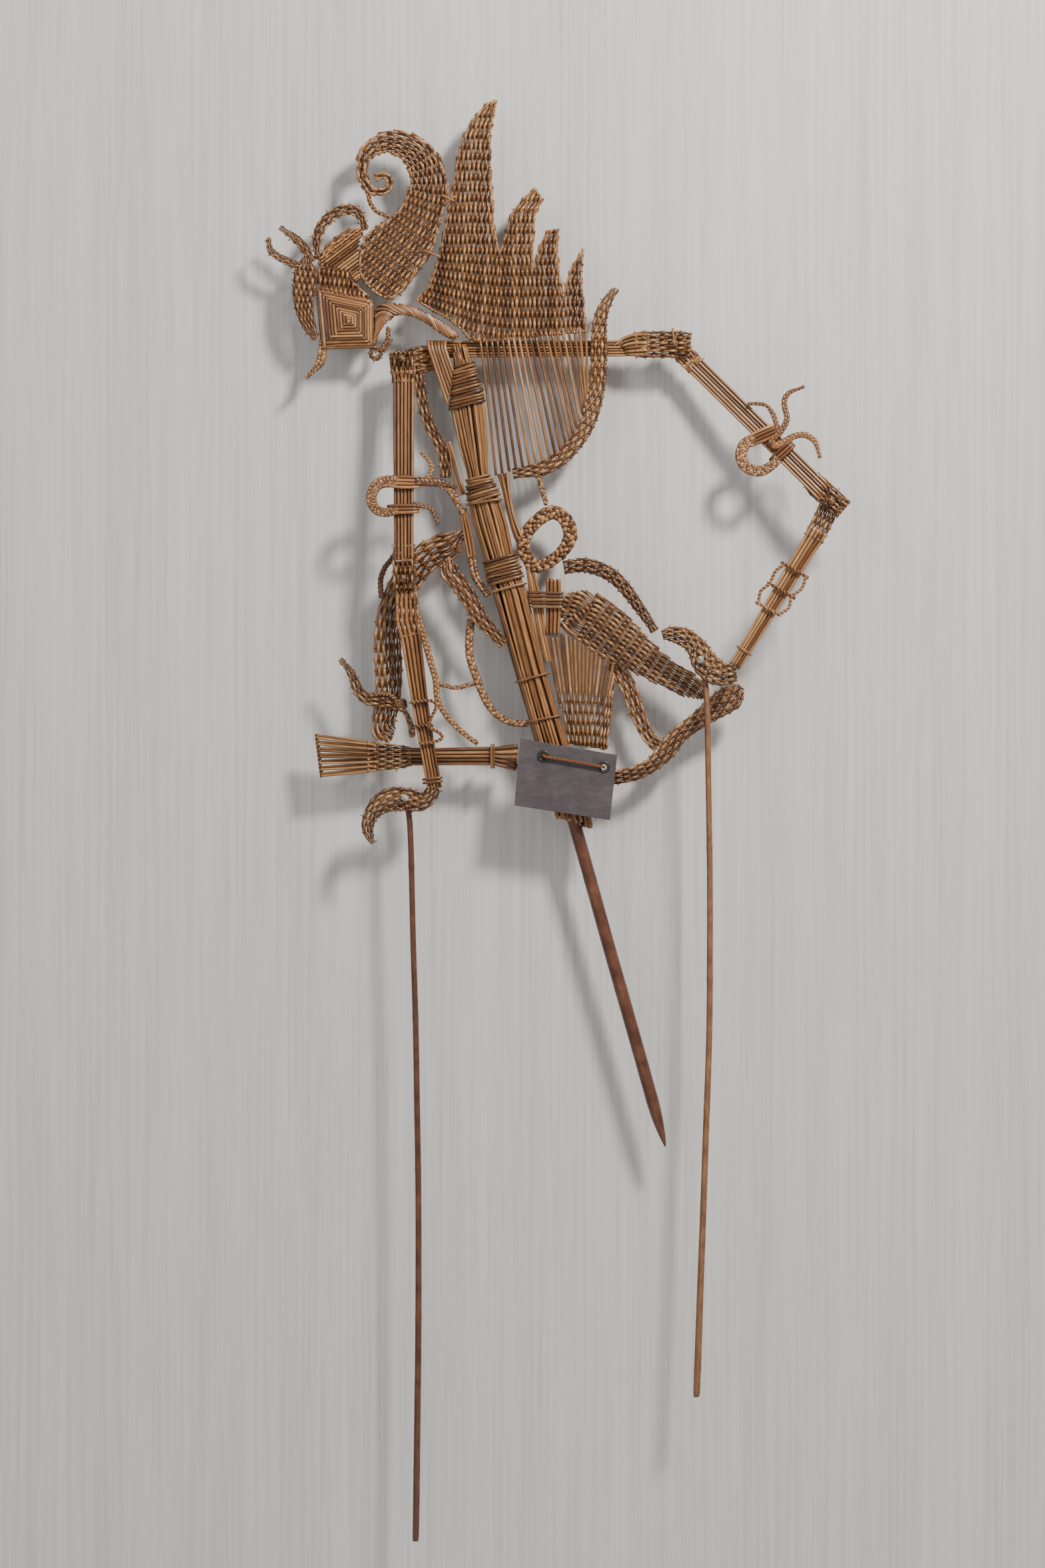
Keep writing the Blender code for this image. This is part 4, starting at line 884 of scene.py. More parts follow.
def wall_material():
    """A pale laminate with fine upright grain, clear from behind so that the figure's back can be seen."""
    g = Graph("wall")
    grain = g.noise(g.place((320, 1, 5)), 1.0, 5.0, 0.65)
    wide = g.noise(g.place((26, 1, 0.8)), 1.0, 3.0)
    tone = g.add(g.times(grain, 0.65), g.times(wide, 0.35))
    pale = [(0.3, (0.50, 0.47, 0.445)), (0.5, (0.63, 0.61, 0.585)), (0.7, (0.71, 0.705, 0.685))]
    g.finish(g.ramp(tone, pale), 0.55, 0.0, 0.3)
    clear = g.node("ShaderNodeBsdfTransparent")
    back = g.node("ShaderNodeNewGeometry").outputs["Backfacing"]
    mix = g.node("ShaderNodeMixShader", {0: back, 1: g.shader.outputs[0], 2: clear.outputs[0]})
    g.links.new(mix.outputs[0], g.nodes["Material Output"].inputs["Surface"])


def floor_material():
    g = Graph("floor")
    speck = g.noise(g.place(), 30.0, 4.0)
    g.finish(g.ramp(speck, [(0.3, (0.55, 0.54, 0.52)), (0.7, (0.66, 0.65, 0.63))]), g.remap(speck, 0.5, 0.7))


# ---------------------------------------------------------------- places shared with the CAD

def place_of(joint):
    """A joint's (x, z)."""
    return PIVOT[joint][[0, 2]]


def box_mm(node):
    """The lowest and highest corners of a CAD node."""
    return [np.array(corner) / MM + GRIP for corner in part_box(node)]


def front_layer(node):
    """The y of a flat bundle against the front of a CAD node."""
    return box_mm(node)[0][1] + LIMB / 2


def back_layer(node):
    """The y of a flat bundle against the back of a CAD node."""
    return box_mm(node)[1][1] - LIMB / 2


# ---------------------------------------------------------------- rods and bundle

def rings_of(node):
    """The (x, y, z, radius) of each ring of a CAD rod, from the top down."""
    points, _ = cad_triangles(node)
    points = points[np.argsort(-points[:, 2])]
    breaks = np.flatnonzero(-np.diff(points[:, 2]) > 0.55) + 1
    rings = []
    for ring in np.split(points, breaks):
        if len(ring) < 8 or len(ring) > 14:
            continue
        centre = (ring.min(axis=0) + ring.max(axis=0)) / 2
        rings.append([*centre, np.ptp(ring[:, 1]) / 2])
    return np.array(rings)


def rod(node, material, joints_apart, path=None):
    """A natural rod: slightly uneven, with a faint swelling at each node of its cane."""
    path = smooth(rings_of(node) if path is None else path, 2.0, 3)
    far = lengths(path[:, :3])
    swell = 0.16 * np.exp(-((far % joints_apart - joints_apart / 2) / 1.6) ** 2)
    uneven = 0.12 * np.sin(far / 23 + 1) * np.sin(far / 61)
    core = strand(path[:, :3] + uneven[:, None] * (1, 0.4, 0), path[:, 3] * 0.98 + swell, shade=0.45)
    stalks(node, [core], material, 20)


def main_rod():
    """The straight rod that carries the figure, sharpened at its foot."""
    top, tip = np.array((-56.0, 0, 199.0)), np.array((56.5, 0, -200.5))
    widths = ((199, 2.6), (194, 3.2), (60, 3.9), (0, 4.1), (-60, 4.1), (-120, 4.1), (-170, 4.0),
              (-180, 3.7), (-188, 2.9), (-196, 1.6), (-200.5, 0.5))
    path = [(*(top + (tip - top) * (top[2] - z) / (top[2] - tip[2])), radius) for z, radius in widths]
    rod("main_rod", "dark_wood", 72, path)


SPINE = np.array([  # the bundle's z, x, half width, y and half depth
    (309.5, -75.0, 5.0, -1.9, 4.0), (293.0, -71.0, 5.2, -1.9, 4.1), (265.5, -68.4, 10.4, -1.9, 4.1),
    (240.0, -64.5, 8.6, -1.9, 4.1), (223.0, -61.8, 5.8, -1.0, 4.8), (205.0, -57.4, 9.8, 0.0, 5.6),
    (192.0, -54.0, 10.4, 0.0, 6.0), (171.0, -48.4, 9.0, 0.0, 6.0), (154.5, -43.4, 9.9, 0.0, 6.0),
    (148.5, -41.4, 10.6, 0.0, 6.0), (102.0, -29.2, 9.6, 0.0, 6.0), (53.5, -15.3, 10.1, 0.0, 6.0),
    (22.5, -6.4, 11.2, 0.0, 6.3), (6.8, -1.4, 11.5, 0.0, 6.5)])
SPINE_TILT = 0.25  # its bindings rise this much to the right


def spine_at(z):
    """The bundle's x, half width, y and half depth at height z."""
    rows = SPINE[::-1]
    return [np.interp(z, rows[:, 0], rows[:, k]) for k in range(1, 5)]


def spine_section(z, grow, tilt):
    """The bundle's rounded outline at z, as (x, y, z) points."""
    x, half_width, y, half_depth = spine_at(z)
    aside, deep = rounded(np.linspace(0, 2 * np.pi, 48, endpoint=False))
    across = (half_width + grow) * aside
    return np.stack([x + across, y + (half_depth + grow) * deep, z + tilt * across], axis=1)


def spine_bundle():
    """Stalks packed round the rod: a ring of them outside and a few more inside."""
    made = []
    z = np.r_[np.arange(306.0, 4.0, -5.0), 3.0]
    x, half_width, y, half_depth = spine_at(z)
    for count, inset, size in ((27, 0.0, 1.06), (18, 2.1, 1.15)):
        radius = size * np.clip(half_width / 10.4, 0.55, 1.1) ** 0.7
        for i in range(count):
            aside, deep = rounded(2 * np.pi * (i + 0.14 * RANDOM.normal()) / count)
            drift = 0.7 * np.sin(z / RANDOM.uniform(25, 60) + RANDOM.uniform(0, 6))
            sink = 0.35 * abs(RANDOM.normal())
            across = (half_width - radius - inset * half_width / 10) * aside
            deep = (half_depth - radius - inset * 0.8 - sink) * deep
            rise = -0.3 * across * (z < 30)
            points = np.stack([x + across + drift, y + deep, z + rise], axis=1)
            first = RANDOM.integers(0, 3)
            ragged = trimmed(points[first:], RANDOM.uniform(0, 3), RANDOM.uniform(0, 3))
            made.append(strand(ragged, radius[first:] * RANDOM.uniform(0.84, 1.04)))
    stalks("spine_bundle", made)


def binding(node, top, bottom, count, radius):
    """Stalks wound round the bundle one above another."""
    made = []
    for z in np.linspace(top - radius, bottom + radius, count):
        section = spine_section(z, GAP + radius * 0.85, SPINE_TILT + 0.05 * RANDOM.normal())
        section[:, 0] += 0.25 * RANDOM.normal()
        made.append(hoop(section, radius * RANDOM.uniform(0.9, 1.08), (SPINE_TILT, 0, 1)))
    stalks(node, made)


# ---------------------------------------------------------------- head

PLAITS = {"weave": weave, "ring": weave, "even": even_weave, "braid": braid, "slanted": slanted,
          "stalks": straight}


def woven(node, *styles):
    """A piece of bands, with the plait and its sizes for each level of its CAD slab."""
    made = []
    for plate, (kind, *sizes) in zip(plates(node), styles):
        band = ring_band(plate) if kind == "ring" else band_of(plate)
        made += PLAITS[kind](band, *sizes)
    stalks(node, made, "woven_straw")


def face_lozenge():
    """A square wound from the outside in on both faces; its stalks cross along one diagonal."""
    square, chin = plates("face_lozenge")[:2]
    rim = square.loops[0]
    corners = np.array([rim[np.argmin(np.linalg.norm(rim - near, axis=1))]
                        for near in ((-162.6, 339.6), (-128.6, 332), (-128.3, 304.4), (-159.3, 303.4))])
    centre = corners.mean(axis=0) + (1.5, 1.0)
    rounds, radius = 9, 0.93
    made = []
    for side in (-1, 1):
        for k in range(rounds):
            ring = centre + (corners - centre) * (1 - (k + 0.5) / rounds)
            lift = side * (square.depth / 2 - radius - 0.12 * k / rounds)
            for c in range(4):
                a, b = ring[c], ring[(c + 1) % 4]
                over, raised = (1.5, 0.35 * side) if (c + k) % 2 else (0.4, -0.35 * side)
                run = unit(b - a)
                before, past = over if c == 3 else 0.2, over if c == 2 else 0.2
                points = np.linspace(a - run * before, b + run * past, 12)
                y = lift * np.ones(12)
                y[:3] += raised if c == 3 else 0
                y[-3:] += raised if c == 2 else 0
                made.append(strand(lifted(points, y), radius * RANDOM.uniform(0.93, 1.05), 0.9))
    for c in range(4):
        made.append(strand(lifted(np.linspace(corners[c], corners[(c + 1) % 4], 12), 0), 1.5, 0.9))
    made += braid(band_of(chin), 4, 9.5)
    stalks("face_lozenge", made, "woven_straw")


def temple_fan():
    """Slanting stalks between temple and crown, edged on the outside with a woven band."""
    plate = plates("temple_fan")[0]
    made = []
    slant = math.radians(37)
    heading, across = np.array([[math.cos(slant), math.sin(slant)], [-math.sin(slant), math.cos(slant)]])
    centre = plate.loops[0].mean(axis=0)
    for layer in (-1, 1):
        for k in np.arange(-14, 22, 1.9):
            xz = centre + across * (k + 0.2 * RANDOM.normal()) + heading * np.arange(-40, 40, 1.0)[:, None]
            for run in runs_of(covered(xz, plate.loops, OVERLAP), 4):
                points = lifted(xz[run], plate.y(xz[run]) + layer * (1.0 + 0.15 * RANDOM.normal()))
                made.append(strand(points, 0.92 * RANDOM.uniform(0.9, 1.06), 0.9))
    edge = [(-160.3, 357.5, 5.5), (-155.8, 364.5, 6.5), (-149, 370.8, 7), (-141.5, 374.6, 6),
            (-134.6, 376, 4.5)]
    made += weave(band_from_path(edge, plate.depth + 0.8), 5, 4.0)
    far = np.linspace(0, 34, 46)
    for share in (0.38, 0.62, 0.86):
        xz = centre + heading * (share * 40 - 19) + across * (far - 13)[:, None]
        for run in runs_of(inside(xz, plate.loops), 5):
            y = plate.y(xz[run]) + 1.5 * np.cos(far[run] * np.pi / 1.9)
            made.append(strand(lifted(xz[run], y), 0.42, 0.9))
    stalks("temple_fan", made, "woven_straw")


def temple_weave():
    plate = plates("temple_weave")[0]
    made = fan(plate, [(-166, 335), (-128, 330)], [(-163, 362), (-124, 356)], 26, 5.6, 1.05)
    stalks("temple_weave", [*made, edging(plate, 0.7)], "woven_straw")


CURL = [  # the curl's middle line and width, from its coiled end to its broad foot: x, z, width
    (-126.5, 410.6, 3.6), (-120.6, 412.3, 4.2), (-117.3, 407.6, 4.6), (-120.2, 402.2, 4.6),
    (-126.6, 402.2, 5.2), (-132.6, 407, 6.4), (-135, 414.6, 6.8), (-132.6, 424.6, 9.4), (-127, 430.6, 11.6),
    (-118.8, 433.2, 13.3), (-107.5, 430.4, 17), (-97.6, 422.6, 20.5), (-93, 410, 23.4), (-94, 398, 24.4),
    (-99.8, 384, 29), (-108, 371, 37), (-118.5, 357, 43), (-130, 342, 46), (-138, 331, 48)]


def crown_scroll():
    """The big curl, whose stakes end one by one as it narrows, its ties and the braid that hangs from it."""
    curl, hanging = plates("crown_scroll")[:2]
    band = band_from_path(CURL, curl.depth)
    band.loops = curl.loops
    made = [*even_weave(band, 1.5, 5.4, 0.5), edging(curl, 0.8)]
    made += braid(band_of(hanging), 3, 8.0)
    for tie in (((-96.4, 364.6), (-85.2, 360.2)), ((-84.6, 399.4), (-76.6, 395.4)),
                ((-83.4, 393.6), (-75.8, 398.6))):
        made.append(strand(lifted(np.linspace(*tie, 7), -2.6), 0.85, 0.8))
    stalks("crown_scroll", made, "woven_straw")


# ---------------------------------------------------------------- wing

FAN_FEET = ((-60.0, 306.5), (6.2, 313.0))
RIBS = 20
SPIKES = [  # the middle line of each spike as (x, z), from the panel's waist up to its tip
    [(-69, 345), (-67, 365), (-65.5, 396), (-63.5, 422), (-62, 437), (-57, 450), (-51, 459)],
    [(-36.4, 345), (-37.5, 363), (-35.3, 375), (-33.2, 388), (-27.5, 396), (-24, 403)],
    [(-17.6, 345), (-18.5, 352), (-17.2, 368), (-14, 377)],
    [(-1, 345), (0.8, 355), (4.4, 365)]]
VALLEYS = [-48.2, -26.9, -8.1]  # the x of the gaps between spikes
RIB_ENDS = [(-50.6, 226.0), (-40.6, 228.6), (-27, 233.4), (-16.3, 236.4), (-6.9, 244.6), (-1.0, 254.0),
            (4.4, 264.6), (7.2, 277.0)]


def wing_fan():
    """The woven panel that rises into four spikes, and the single stalks that fall from it as ribs."""
    plate = plates("wing_fan")[0]
    outline = plate.loops[0]
    panel = Plate([outline[outline[:, 1] > 305.4]], plate.depth, plate.lean, plate.middle)
    made = [*panel_weave(panel), edging(panel, 0.75)]
    left, right = np.array(FAN_FEET)
    ends = resample(RIB_ENDS, 0.5, 2)
    bow = np.sin(np.linspace(0, np.pi, 12))[:, None]
    for i in range(RIBS):
        share = i / (RIBS - 1)
        foot = left + (right - left) * share
        end = ends[int(share * (len(ends) - 1))]
        run = unit(end - foot)
        line = np.linspace(foot - run * 4, end + run * 3.2, 12)
        line += np.array([-run[1], run[0]]) * 0.25 * RANDOM.normal() * bow
        made.append(strand(lifted(line, 0.3 * RANDOM.normal() - 0.4), RANDOM.uniform(0.84, 0.98), 1.0))
    stalks("wing_fan", made, "woven_straw")


def panel_weave(panel):
    """Stakes side by side at the panel's waist: they lean out below it and follow their spike above it."""
    pitch, row, waist, foot, radius = 1.4, 6.6, 345.0, 305.0, 0.98
    lift = panel.depth / 2 - radius * 0.75
    made, rows = [], {}
    z = np.arange(foot, 462, 0.8)
    for j, start in enumerate(np.arange(-96, 8, pitch)):
        spike = np.array(SPIKES[int(np.searchsorted(VALLEYS, start))])
        above = np.interp(np.maximum(z, waist), spike[:, 1], spike[:, 0]) - spike[0, 0]
        lean = 0.9 * np.clip((-40 - start) / 55, 0, 1)
        below = lean * np.maximum(waist - z, 0) ** 2 / (2 * (waist - foot))
        x = start + above - below + 0.08 * RANDOM.normal()
        xz = np.stack([x, z], axis=1)
        sag = 0.006 * np.minimum(x + 40, 0) ** 2 * np.clip((365 - z) / 40, 0, 1)
        height = (z - foot - sag) / row
        phase = np.pi * (height + j + 0.05 * RANDOM.normal())
        middle = panel.y(xz)
        points = lifted(xz, middle - lift * crest(phase))
        kept = covered(xz, panel.loops, 0.3)
        made += stake(points, radius * RANDOM.uniform(0.93, 1.06), phase, runs_of(kept, 4))
        note_rows(rows, j, height, points, middle, kept)
    return made + wefts_through(rows, lift)


def shoulder_bar():
    """Stalks behind the ribs, woven together at both ends."""
    back = box_mm("shoulder_bar")[1][1] - BAR / 2
    made = sheaf([(-99, 296, 15, 1.2), (-91, 297, 15, 3.6), (-84, 300, 13, back), (-78, 302.5, 11, back),
                  (22, 303, 10.5, back), (29, 303.6, 12, 4.0), (37, 305, 15, 1.0), (46, 305.3, 15, 0)],
                 6, BAR)
    left = [(-117, 293, 12.5, 0), (-112, 293.5, 15, 0), (-103, 294.5, 17, 0), (-97, 296, 17.4, 1.2),
            (-90, 297.4, 16, 3.6)]
    right = [(37.5, 305, 15.6, 0.9), (44, 305.3, 16.5, 0), (66, 305.3, 16.5, 0), (72.3, 305, 14.6, 0)]
    made += weave(band_from_path(left, BAR), 10, 5.6)
    made += weave(band_from_path(right, BAR), 10, 5.4)
    stalks("shoulder_bar", made)


def collar_straws():
    """Stalks bent over the bar, which slant down side by side into the upper binding."""
    made = []
    for j in range(6):
        line = [(-93 + 2.1 * j, -1.5, 307.2), (-92.9 + 2.1 * j, -4.0, 305.2), (-92 + 2.0 * j, -4.6, 301),
                (-80.8 + 0.85 * j, -4.9, 267.4 + 3.7 * j)]
        made.append(strand(smooth(line, 3.0, 3), 1.05 * RANDOM.uniform(0.93, 1.05), 0.95))
    stalks("collar_straws", made)


# ---------------------------------------------------------------- body

def hip_post():
    """Upright stalks beside the bundle, with the stalks wrapped across them."""
    made = sheaf([(-14.2, 158.4, 9.6, 0), (-14.2, 137, 10.2, 0), (-14.6, 121.6, 9.4, 0)], 4)
    for k in range(5):
        z = 139.6 + k * 2.2
        left = -27.0 - 0.25 * (z - 138)
        section = [(left, -2.5, z + 0.4), (left + 1.4, -3.5, z + 0.3), (-10, -3.3, z), (-9.2, -1.5, z),
                   (-9.2, 1.6, z), (-10.4, 2.2, z), (-17.6, 2.2, z)]
        made.append(strand(smooth(section, 0.9, 3), 0.95, 1.0, ref=(0, 0.05, 1)))
    stalks("hip_post", made)


def hip_ring():
    """The looped braid, whose stalks run up to the ribs' ends and down beside the bundle."""
    made = braid(ring_band(plates("hip_ring")[0]), 5, 19)
    upper = [(-46.2, 225.2, 8.6), (-44.2, 214.6, 4.8), (-42.3, 205, 3.9), (-40.4, 196, 3.9),
             (-37.2, 186.4, 5), (-33.6, 178, 5)]
    lower = [(-31.5, 174, 4), (-28.6, 162, 4.4), (-26.6, 152, 6.2), (-23.8, 139.6, 7), (-21.2, 122.5, 4.2),
             (-17.0, 104, 3.6)]
    count = 4
    for path, y in ((upper, 0.0), (lower, 0.9)):
        line = smooth(path, 1.5)
        side = normals_2d(line)
        for k in range(count):
            share = (2 * k + 1) / count - 1
            xz = line[:, :2] + side * (share * line[:, 2:3] / 2 + 0.1 * RANDOM.normal())
            height = y + (-0.9 if k % 2 else 0.3) + 0.2 * RANDOM.normal()
            cut = trimmed(lifted(xz, height), RANDOM.uniform(0, 2), RANDOM.uniform(0, 3))
            made.append(strand(cut, RANDOM.uniform(0.84, 1.0), 0.95))
    stalks("hip_ring", made, "woven_straw")


def apron():
    """Long stalks that hang from the thigh with gaps between them and are woven together lower down."""
    feet, heads = [(-5.2, 49), (19.4, 47)], [(-20, 123), (-9, 126), (26, 107), (26, 88)]
    stalks("apron", fan(plates("apron")[0], feet, heads, 22, 6.4, 0.95, wefts=6))


def front_foot():
    """Seven hairpin toes joined at their tips, the woven instep and the stalks of the base bar."""
    made, tips = [], []
    toes = 7
    for i in range(toes):
        share = i / (toes - 1)
        root, tip = 37.3 + 15.9 * share, 33.9 + 24.2 * share
        far = -160.6 - 3 * share
        tips.append((far + 0.2, 0.0, tip))
        for side in (-1, 1):
            line = [(-126, root + side * 0.5), ((-126 + far) / 2, (root + tip) / 2 + side * 0.8),
                    (far, tip + side * 0.7)]
            made.append(strand(lifted(smooth(line, 1.5), side * 0.7), 0.82, 1.0))
    made += twisted(smooth([(-160.2, 0, 32.6), *tips, (-163.2, 0, 59.4)], 0.8, 3), 1.3, 5.2)
    instep = [(-131.5, 45.2, 18), (-122, 45.2, 17), (-110, 45.2, 14.5), (-104, 45.4, 12)]
    made += weave(band_from_path(instep, BAR), 11, 5.0)
    made += sheaf([(-108, 45.4, 11.6, 0), (-55, 45.6, 11.8, 0), (-49, 45.4, 13, 0), (-36.2, 44.6, 18, 0)], 5)
    stalks("front_foot", made)


def foot_tie():
    made = []
    for x in (-53.2, -51.7):
        section = [(x, -2.9, 39.2), (x, 0, 38.4), (x, 2.9, 39.2), (x, 3.2, 45.6), (x, 2.9, 52), (x, 0, 52.8),
                   (x, -2.9, 52), (x, -3.2, 45.6)]
        made.append(hoop(smooth(section, 1.0, 3, True), 0.72, (1, 0, 0)))
    stalks("foot_tie", made)


def limb(path, count, *plaits):
    """An arm's straight stalks, and the (path, count, row) of the plait at each of its joints."""
    made = sheaf(path, count, fray=0.5)
    for line, stakes, row in plaits:
        made += weave(band_from_path(line, LIMB), stakes, row)
    return made


# ---------------------------------------------------------------- arms

def front_upper_arm():
    top, foot = back_layer("front_upper_arm"), front_layer("front_upper_arm")
    made = limb([(-108.6, 284, 14.6, top), (-108.4, 280, 13.6, top), (-108.2, 178, 12.6, foot),
                 (-108, 169, 13.6, foot)], 6,
                ([(-109, 300, 15.2, top), (-108.7, 291, 15.6, top), (-108.6, 281, 14.6, top)], 11, 6.0),
                ([(-108.2, 178, 13.2, foot), (-108, 166, 14.6, foot), (-107.7, 151, 13.4, foot)], 10, 5.0))
    stalks("front_upper_arm", made)


def front_forearm():
    y = front_layer("front_forearm")
    made = limb([(-107, 150, 13, y), (-106.2, 130, 14, y), (-103.6, 119, 13, y), (-98.2, 80.5, 10.6, y),
                 (-93.4, 51.5, 9.6, y), (-90.2, 33, 9.6, y), (-88.6, 25, 9.6, y)], 5,
                ([(-108.8, 162, 12.4, y), (-106.6, 146, 14, y), (-105.9, 130, 14.6, y),
                  (-104.2, 121, 13.4, y)], 10, 5.2))
    hand = [(-89, 26, 9), (-92.5, 20, 9.5), (-98, 17, 12), (-107, 18.4, 14.6), (-115.5, 18.5, 15),
            (-122, 16, 13.6), (-127.4, 11, 10.4), (-130.2, 5.5, 8.6), (-131, 0, 7.4), (-129.4, -6, 4.6),
            (-127.6, -9, 2.4)]
    made += weave(band_from_path(hand, LIMB - 0.3, y), 7, 4.2)
    stalks("front_forearm", made)


def wrist_binding(node, start, end, count, radius):
    """Stalks wound round a wrist between two (x, z, width) points of its axis."""
    low, high = box_mm(node)
    y, half_y = (low[1] + high[1]) / 2, (high[1] - low[1]) / 2 - radius
    start, end = np.array(start), np.array(end)
    run = unit((end - start)[:2])
    aside, deep = rounded(np.linspace(0, 2 * np.pi, 32, endpoint=False))
    made = []
    for k in range(count):
        x, z, width = start + (end - start) * (k + 0.5) / count
        across = (width / 2 + 0.5) * aside
        section = np.stack([x - run[1] * across, y + half_y * deep, z + run[0] * across], axis=1)
        made.append(hoop(section, radius, (run[0], 0, run[1])))
    stalks(node, made)


def rear_upper_arm():
    top, foot = back_layer("rear_upper_arm"), front_layer("rear_upper_arm")
    made = limb([(66, 302, 12.2, top), (74, 294, 12.4, top), (78, 290, 12.2, top), (148, 219, 12.2, foot),
                 (155, 212, 13, foot)], 6,
                ([(57.5, 310.5, 12, top), (66, 302, 12.6, top), (76, 292, 12.4, top)], 9, 5.2),
                ([(148, 219, 12.6, foot), (154, 213, 14.2, foot), (168.4, 200.6, 13, foot)], 10, 5.0))
    for k in range(5):
        start = np.array([162.0 + 1.6 * k, 200.5 + 1.9 * k])
        stub = np.stack([start, start + (RANDOM.uniform(2.2, 3.4), -RANDOM.uniform(2.0, 3.2))])
        made.append(strand(lifted(stub, foot + 0.8 * RANDOM.normal()), 0.8, 0.9))
    stalks("rear_upper_arm", made)


def rear_forearm():
    elbow, y = back_layer("rear_forearm"), front_layer("rear_forearm")
    made = limb([(153, 188.5, 12, elbow), (150, 183, 12.4, elbow), (143, 172, 11, elbow),
                 (107.6, 115, 8.6, y), (99, 101.5, 8.2, y)], 5,
                ([(161.4, 210, 11.8, elbow), (157, 197, 12.8, elbow), (149.6, 182.6, 12.8, elbow)], 9, 5.2))
    hand = [(100.5, 97.5, 8.5), (94, 97, 13.6), (87, 99, 16), (81, 104.5, 16), (77.5, 111.5, 13.8),
            (73, 117, 12), (66.5, 121, 11.6), (59, 122.4, 8.8), (54.4, 121.6, 6)]
    made += weave(band_from_path(hand, LIMB - 0.3, y), 7, 4.2)
    stalks("rear_forearm", made)


def front_bracelet():
    y = np.mean([corner[1] for corner in box_mm("front_bracelet")])
    made = []
    for path in ([(-105, 79), (-92.6, 80.6), (-87.8, 77.4), (-90.6, 70), (-92.4, 64), (-86, 60.4), (-84, 57),
                  (-89, 54.6), (-98.4, 53.4)],
                 [(-102, 63.6), (-96, 65), (-90, 64.6)]):
        made += twisted(smooth(lifted(path, y), 0.6, 3), 1.15, 5.0)
    stalks("front_bracelet", made, "woven_straw")


def armlet(node, loop, wraps):
    """A braid looped beside an arm, the stalks that carry it across the arm, and its braided tails."""
    ring, *tails = plates(node)
    band = band_from_path(loop, LIMB - 1.4, step=0.8)
    band.y = ring.y(band.middle)
    made = braid(band, 5, 11.0)
    bulge = np.sin(np.linspace(0, np.pi, 9))
    for start, end, count in wraps:
        start, end = np.array(start, float), np.array(end, float)
        run = unit(end - start)
        for k in range(count):
            side = np.array([-run[1], run[0]]) * (k - (count - 1) / 2)
            line = np.linspace(start + side * 1.76, end + side * 1.76, 9) + side * 0.5 * bulge[:, None]
            y = ring.y(line) - 0.2 + 1.2 * np.linspace(-1, 1, 9) ** 4
            made.append(strand(lifted(line, y), 1.12 * (0.75 + 0.25 * bulge), 0.85))
    for tail in tails:
        made += braid(band_of(tail), 3, 8.0)
    stalks(node, made, "woven_straw")


def rear_bracelet():
    """Two thin braided loops on three ties, leaning with the forearm."""
    elbow, hand = back_layer("rear_forearm"), front_layer("rear_forearm")
    a, b = np.array([143, 172.0]), np.array([107.6, 115.0])
    made = []
    for path in ([(128.6, 167.6), (146, 157.6)], [(120, 154.8), (137.6, 144.4)],
                 [(112.4, 142.4), (128.6, 133.6)],
                 [(131, 166), (125.4, 161.6), (121.6, 154), (116, 149), (114.6, 141.4)],
                 [(144.6, 158.6), (142, 151), (135.6, 145.6), (133.6, 138.6), (127.4, 134.4)]):
        path = smooth(path, 0.6)
        share = (path - a) @ (b - a) / ((b - a) @ (b - a))
        made += twisted(lifted(path, elbow + (hand - elbow) * share + TRIM), 1.15, 5.0)
    stalks("rear_bracelet", made, "woven_straw")


# ---------------------------------------------------------------- ties, thread, label

def tie_piece(node, joint, material="straw", radius=0.72, turns=4, stubs=()):
    """A tie's two knots and the part between them, which passes through both pieces."""
    low, high = box_mm(node)
    x, z = place_of(joint)
    made = []
    for y in (low[1] + 1.1, high[1] - 1.1):
        made += knot(np.array([x, y, z]), (high[0] - low[0]) / 2 - radius, turns, radius)
    made.append(strand([(x, y, z) for y in np.linspace(low[1] + 1, high[1] - 1, 3)], radius, ref=(1, 0, 0)))
    for dx, dz, long in stubs:
        start, tip = (x, low[1] + 1.0, z), (x + dx * long, low[1] + 0.9, z + dz * long)
        made.append(strand(np.linspace(start, tip, 5), 0.75, 0.9))
    stalks(node, made, material)


def label_board():
    """The tag's board with softened edges and two holes."""
    plate = plates("label_board")[0]
    curve = bpy.data.curves.new("outline", "CURVE")
    curve.dimensions = "2D"
    curve.fill_mode = "BOTH"
    curve.bevel_depth = 0.3 * MM
    curve.bevel_resolution = 3
    curve.offset = -0.3 * MM
    curve.extrude = (plate.depth / 2 - 0.3) * MM
    for loop in plate.loops:
        spline = curve.splines.new("POLY")
        spline.points.add(len(loop) - 1)
        for point, (x, z) in zip(spline.points, (loop - GRIP[[0, 2]]) * MM):
            point.co = (x, z, 0, 1)
        spline.use_cyclic_u = True
    holder = bpy.data.objects.new("outline", curve)
    bpy.context.scene.collection.objects.link(holder)
    bpy.context.view_layer.update()
    mesh = bpy.data.meshes.new_from_object(holder.evaluated_get(bpy.context.evaluated_depsgraph_get()))
    bpy.data.objects.remove(holder)
    places = np.empty(len(mesh.vertices) * 3)
    mesh.vertices.foreach_get("co", places)
    places = places.reshape(-1, 3)
    middle = (plate.middle / plate.lean[1] - GRIP[1]) * MM
    places = np.stack([places[:, 0], middle - places[:, 2], places[:, 1]], axis=1)
    mesh.vertices.foreach_set("co", places.ravel())
    mesh.materials.clear()
    place("label_board_painted", mesh, "painted_board", "label_board")


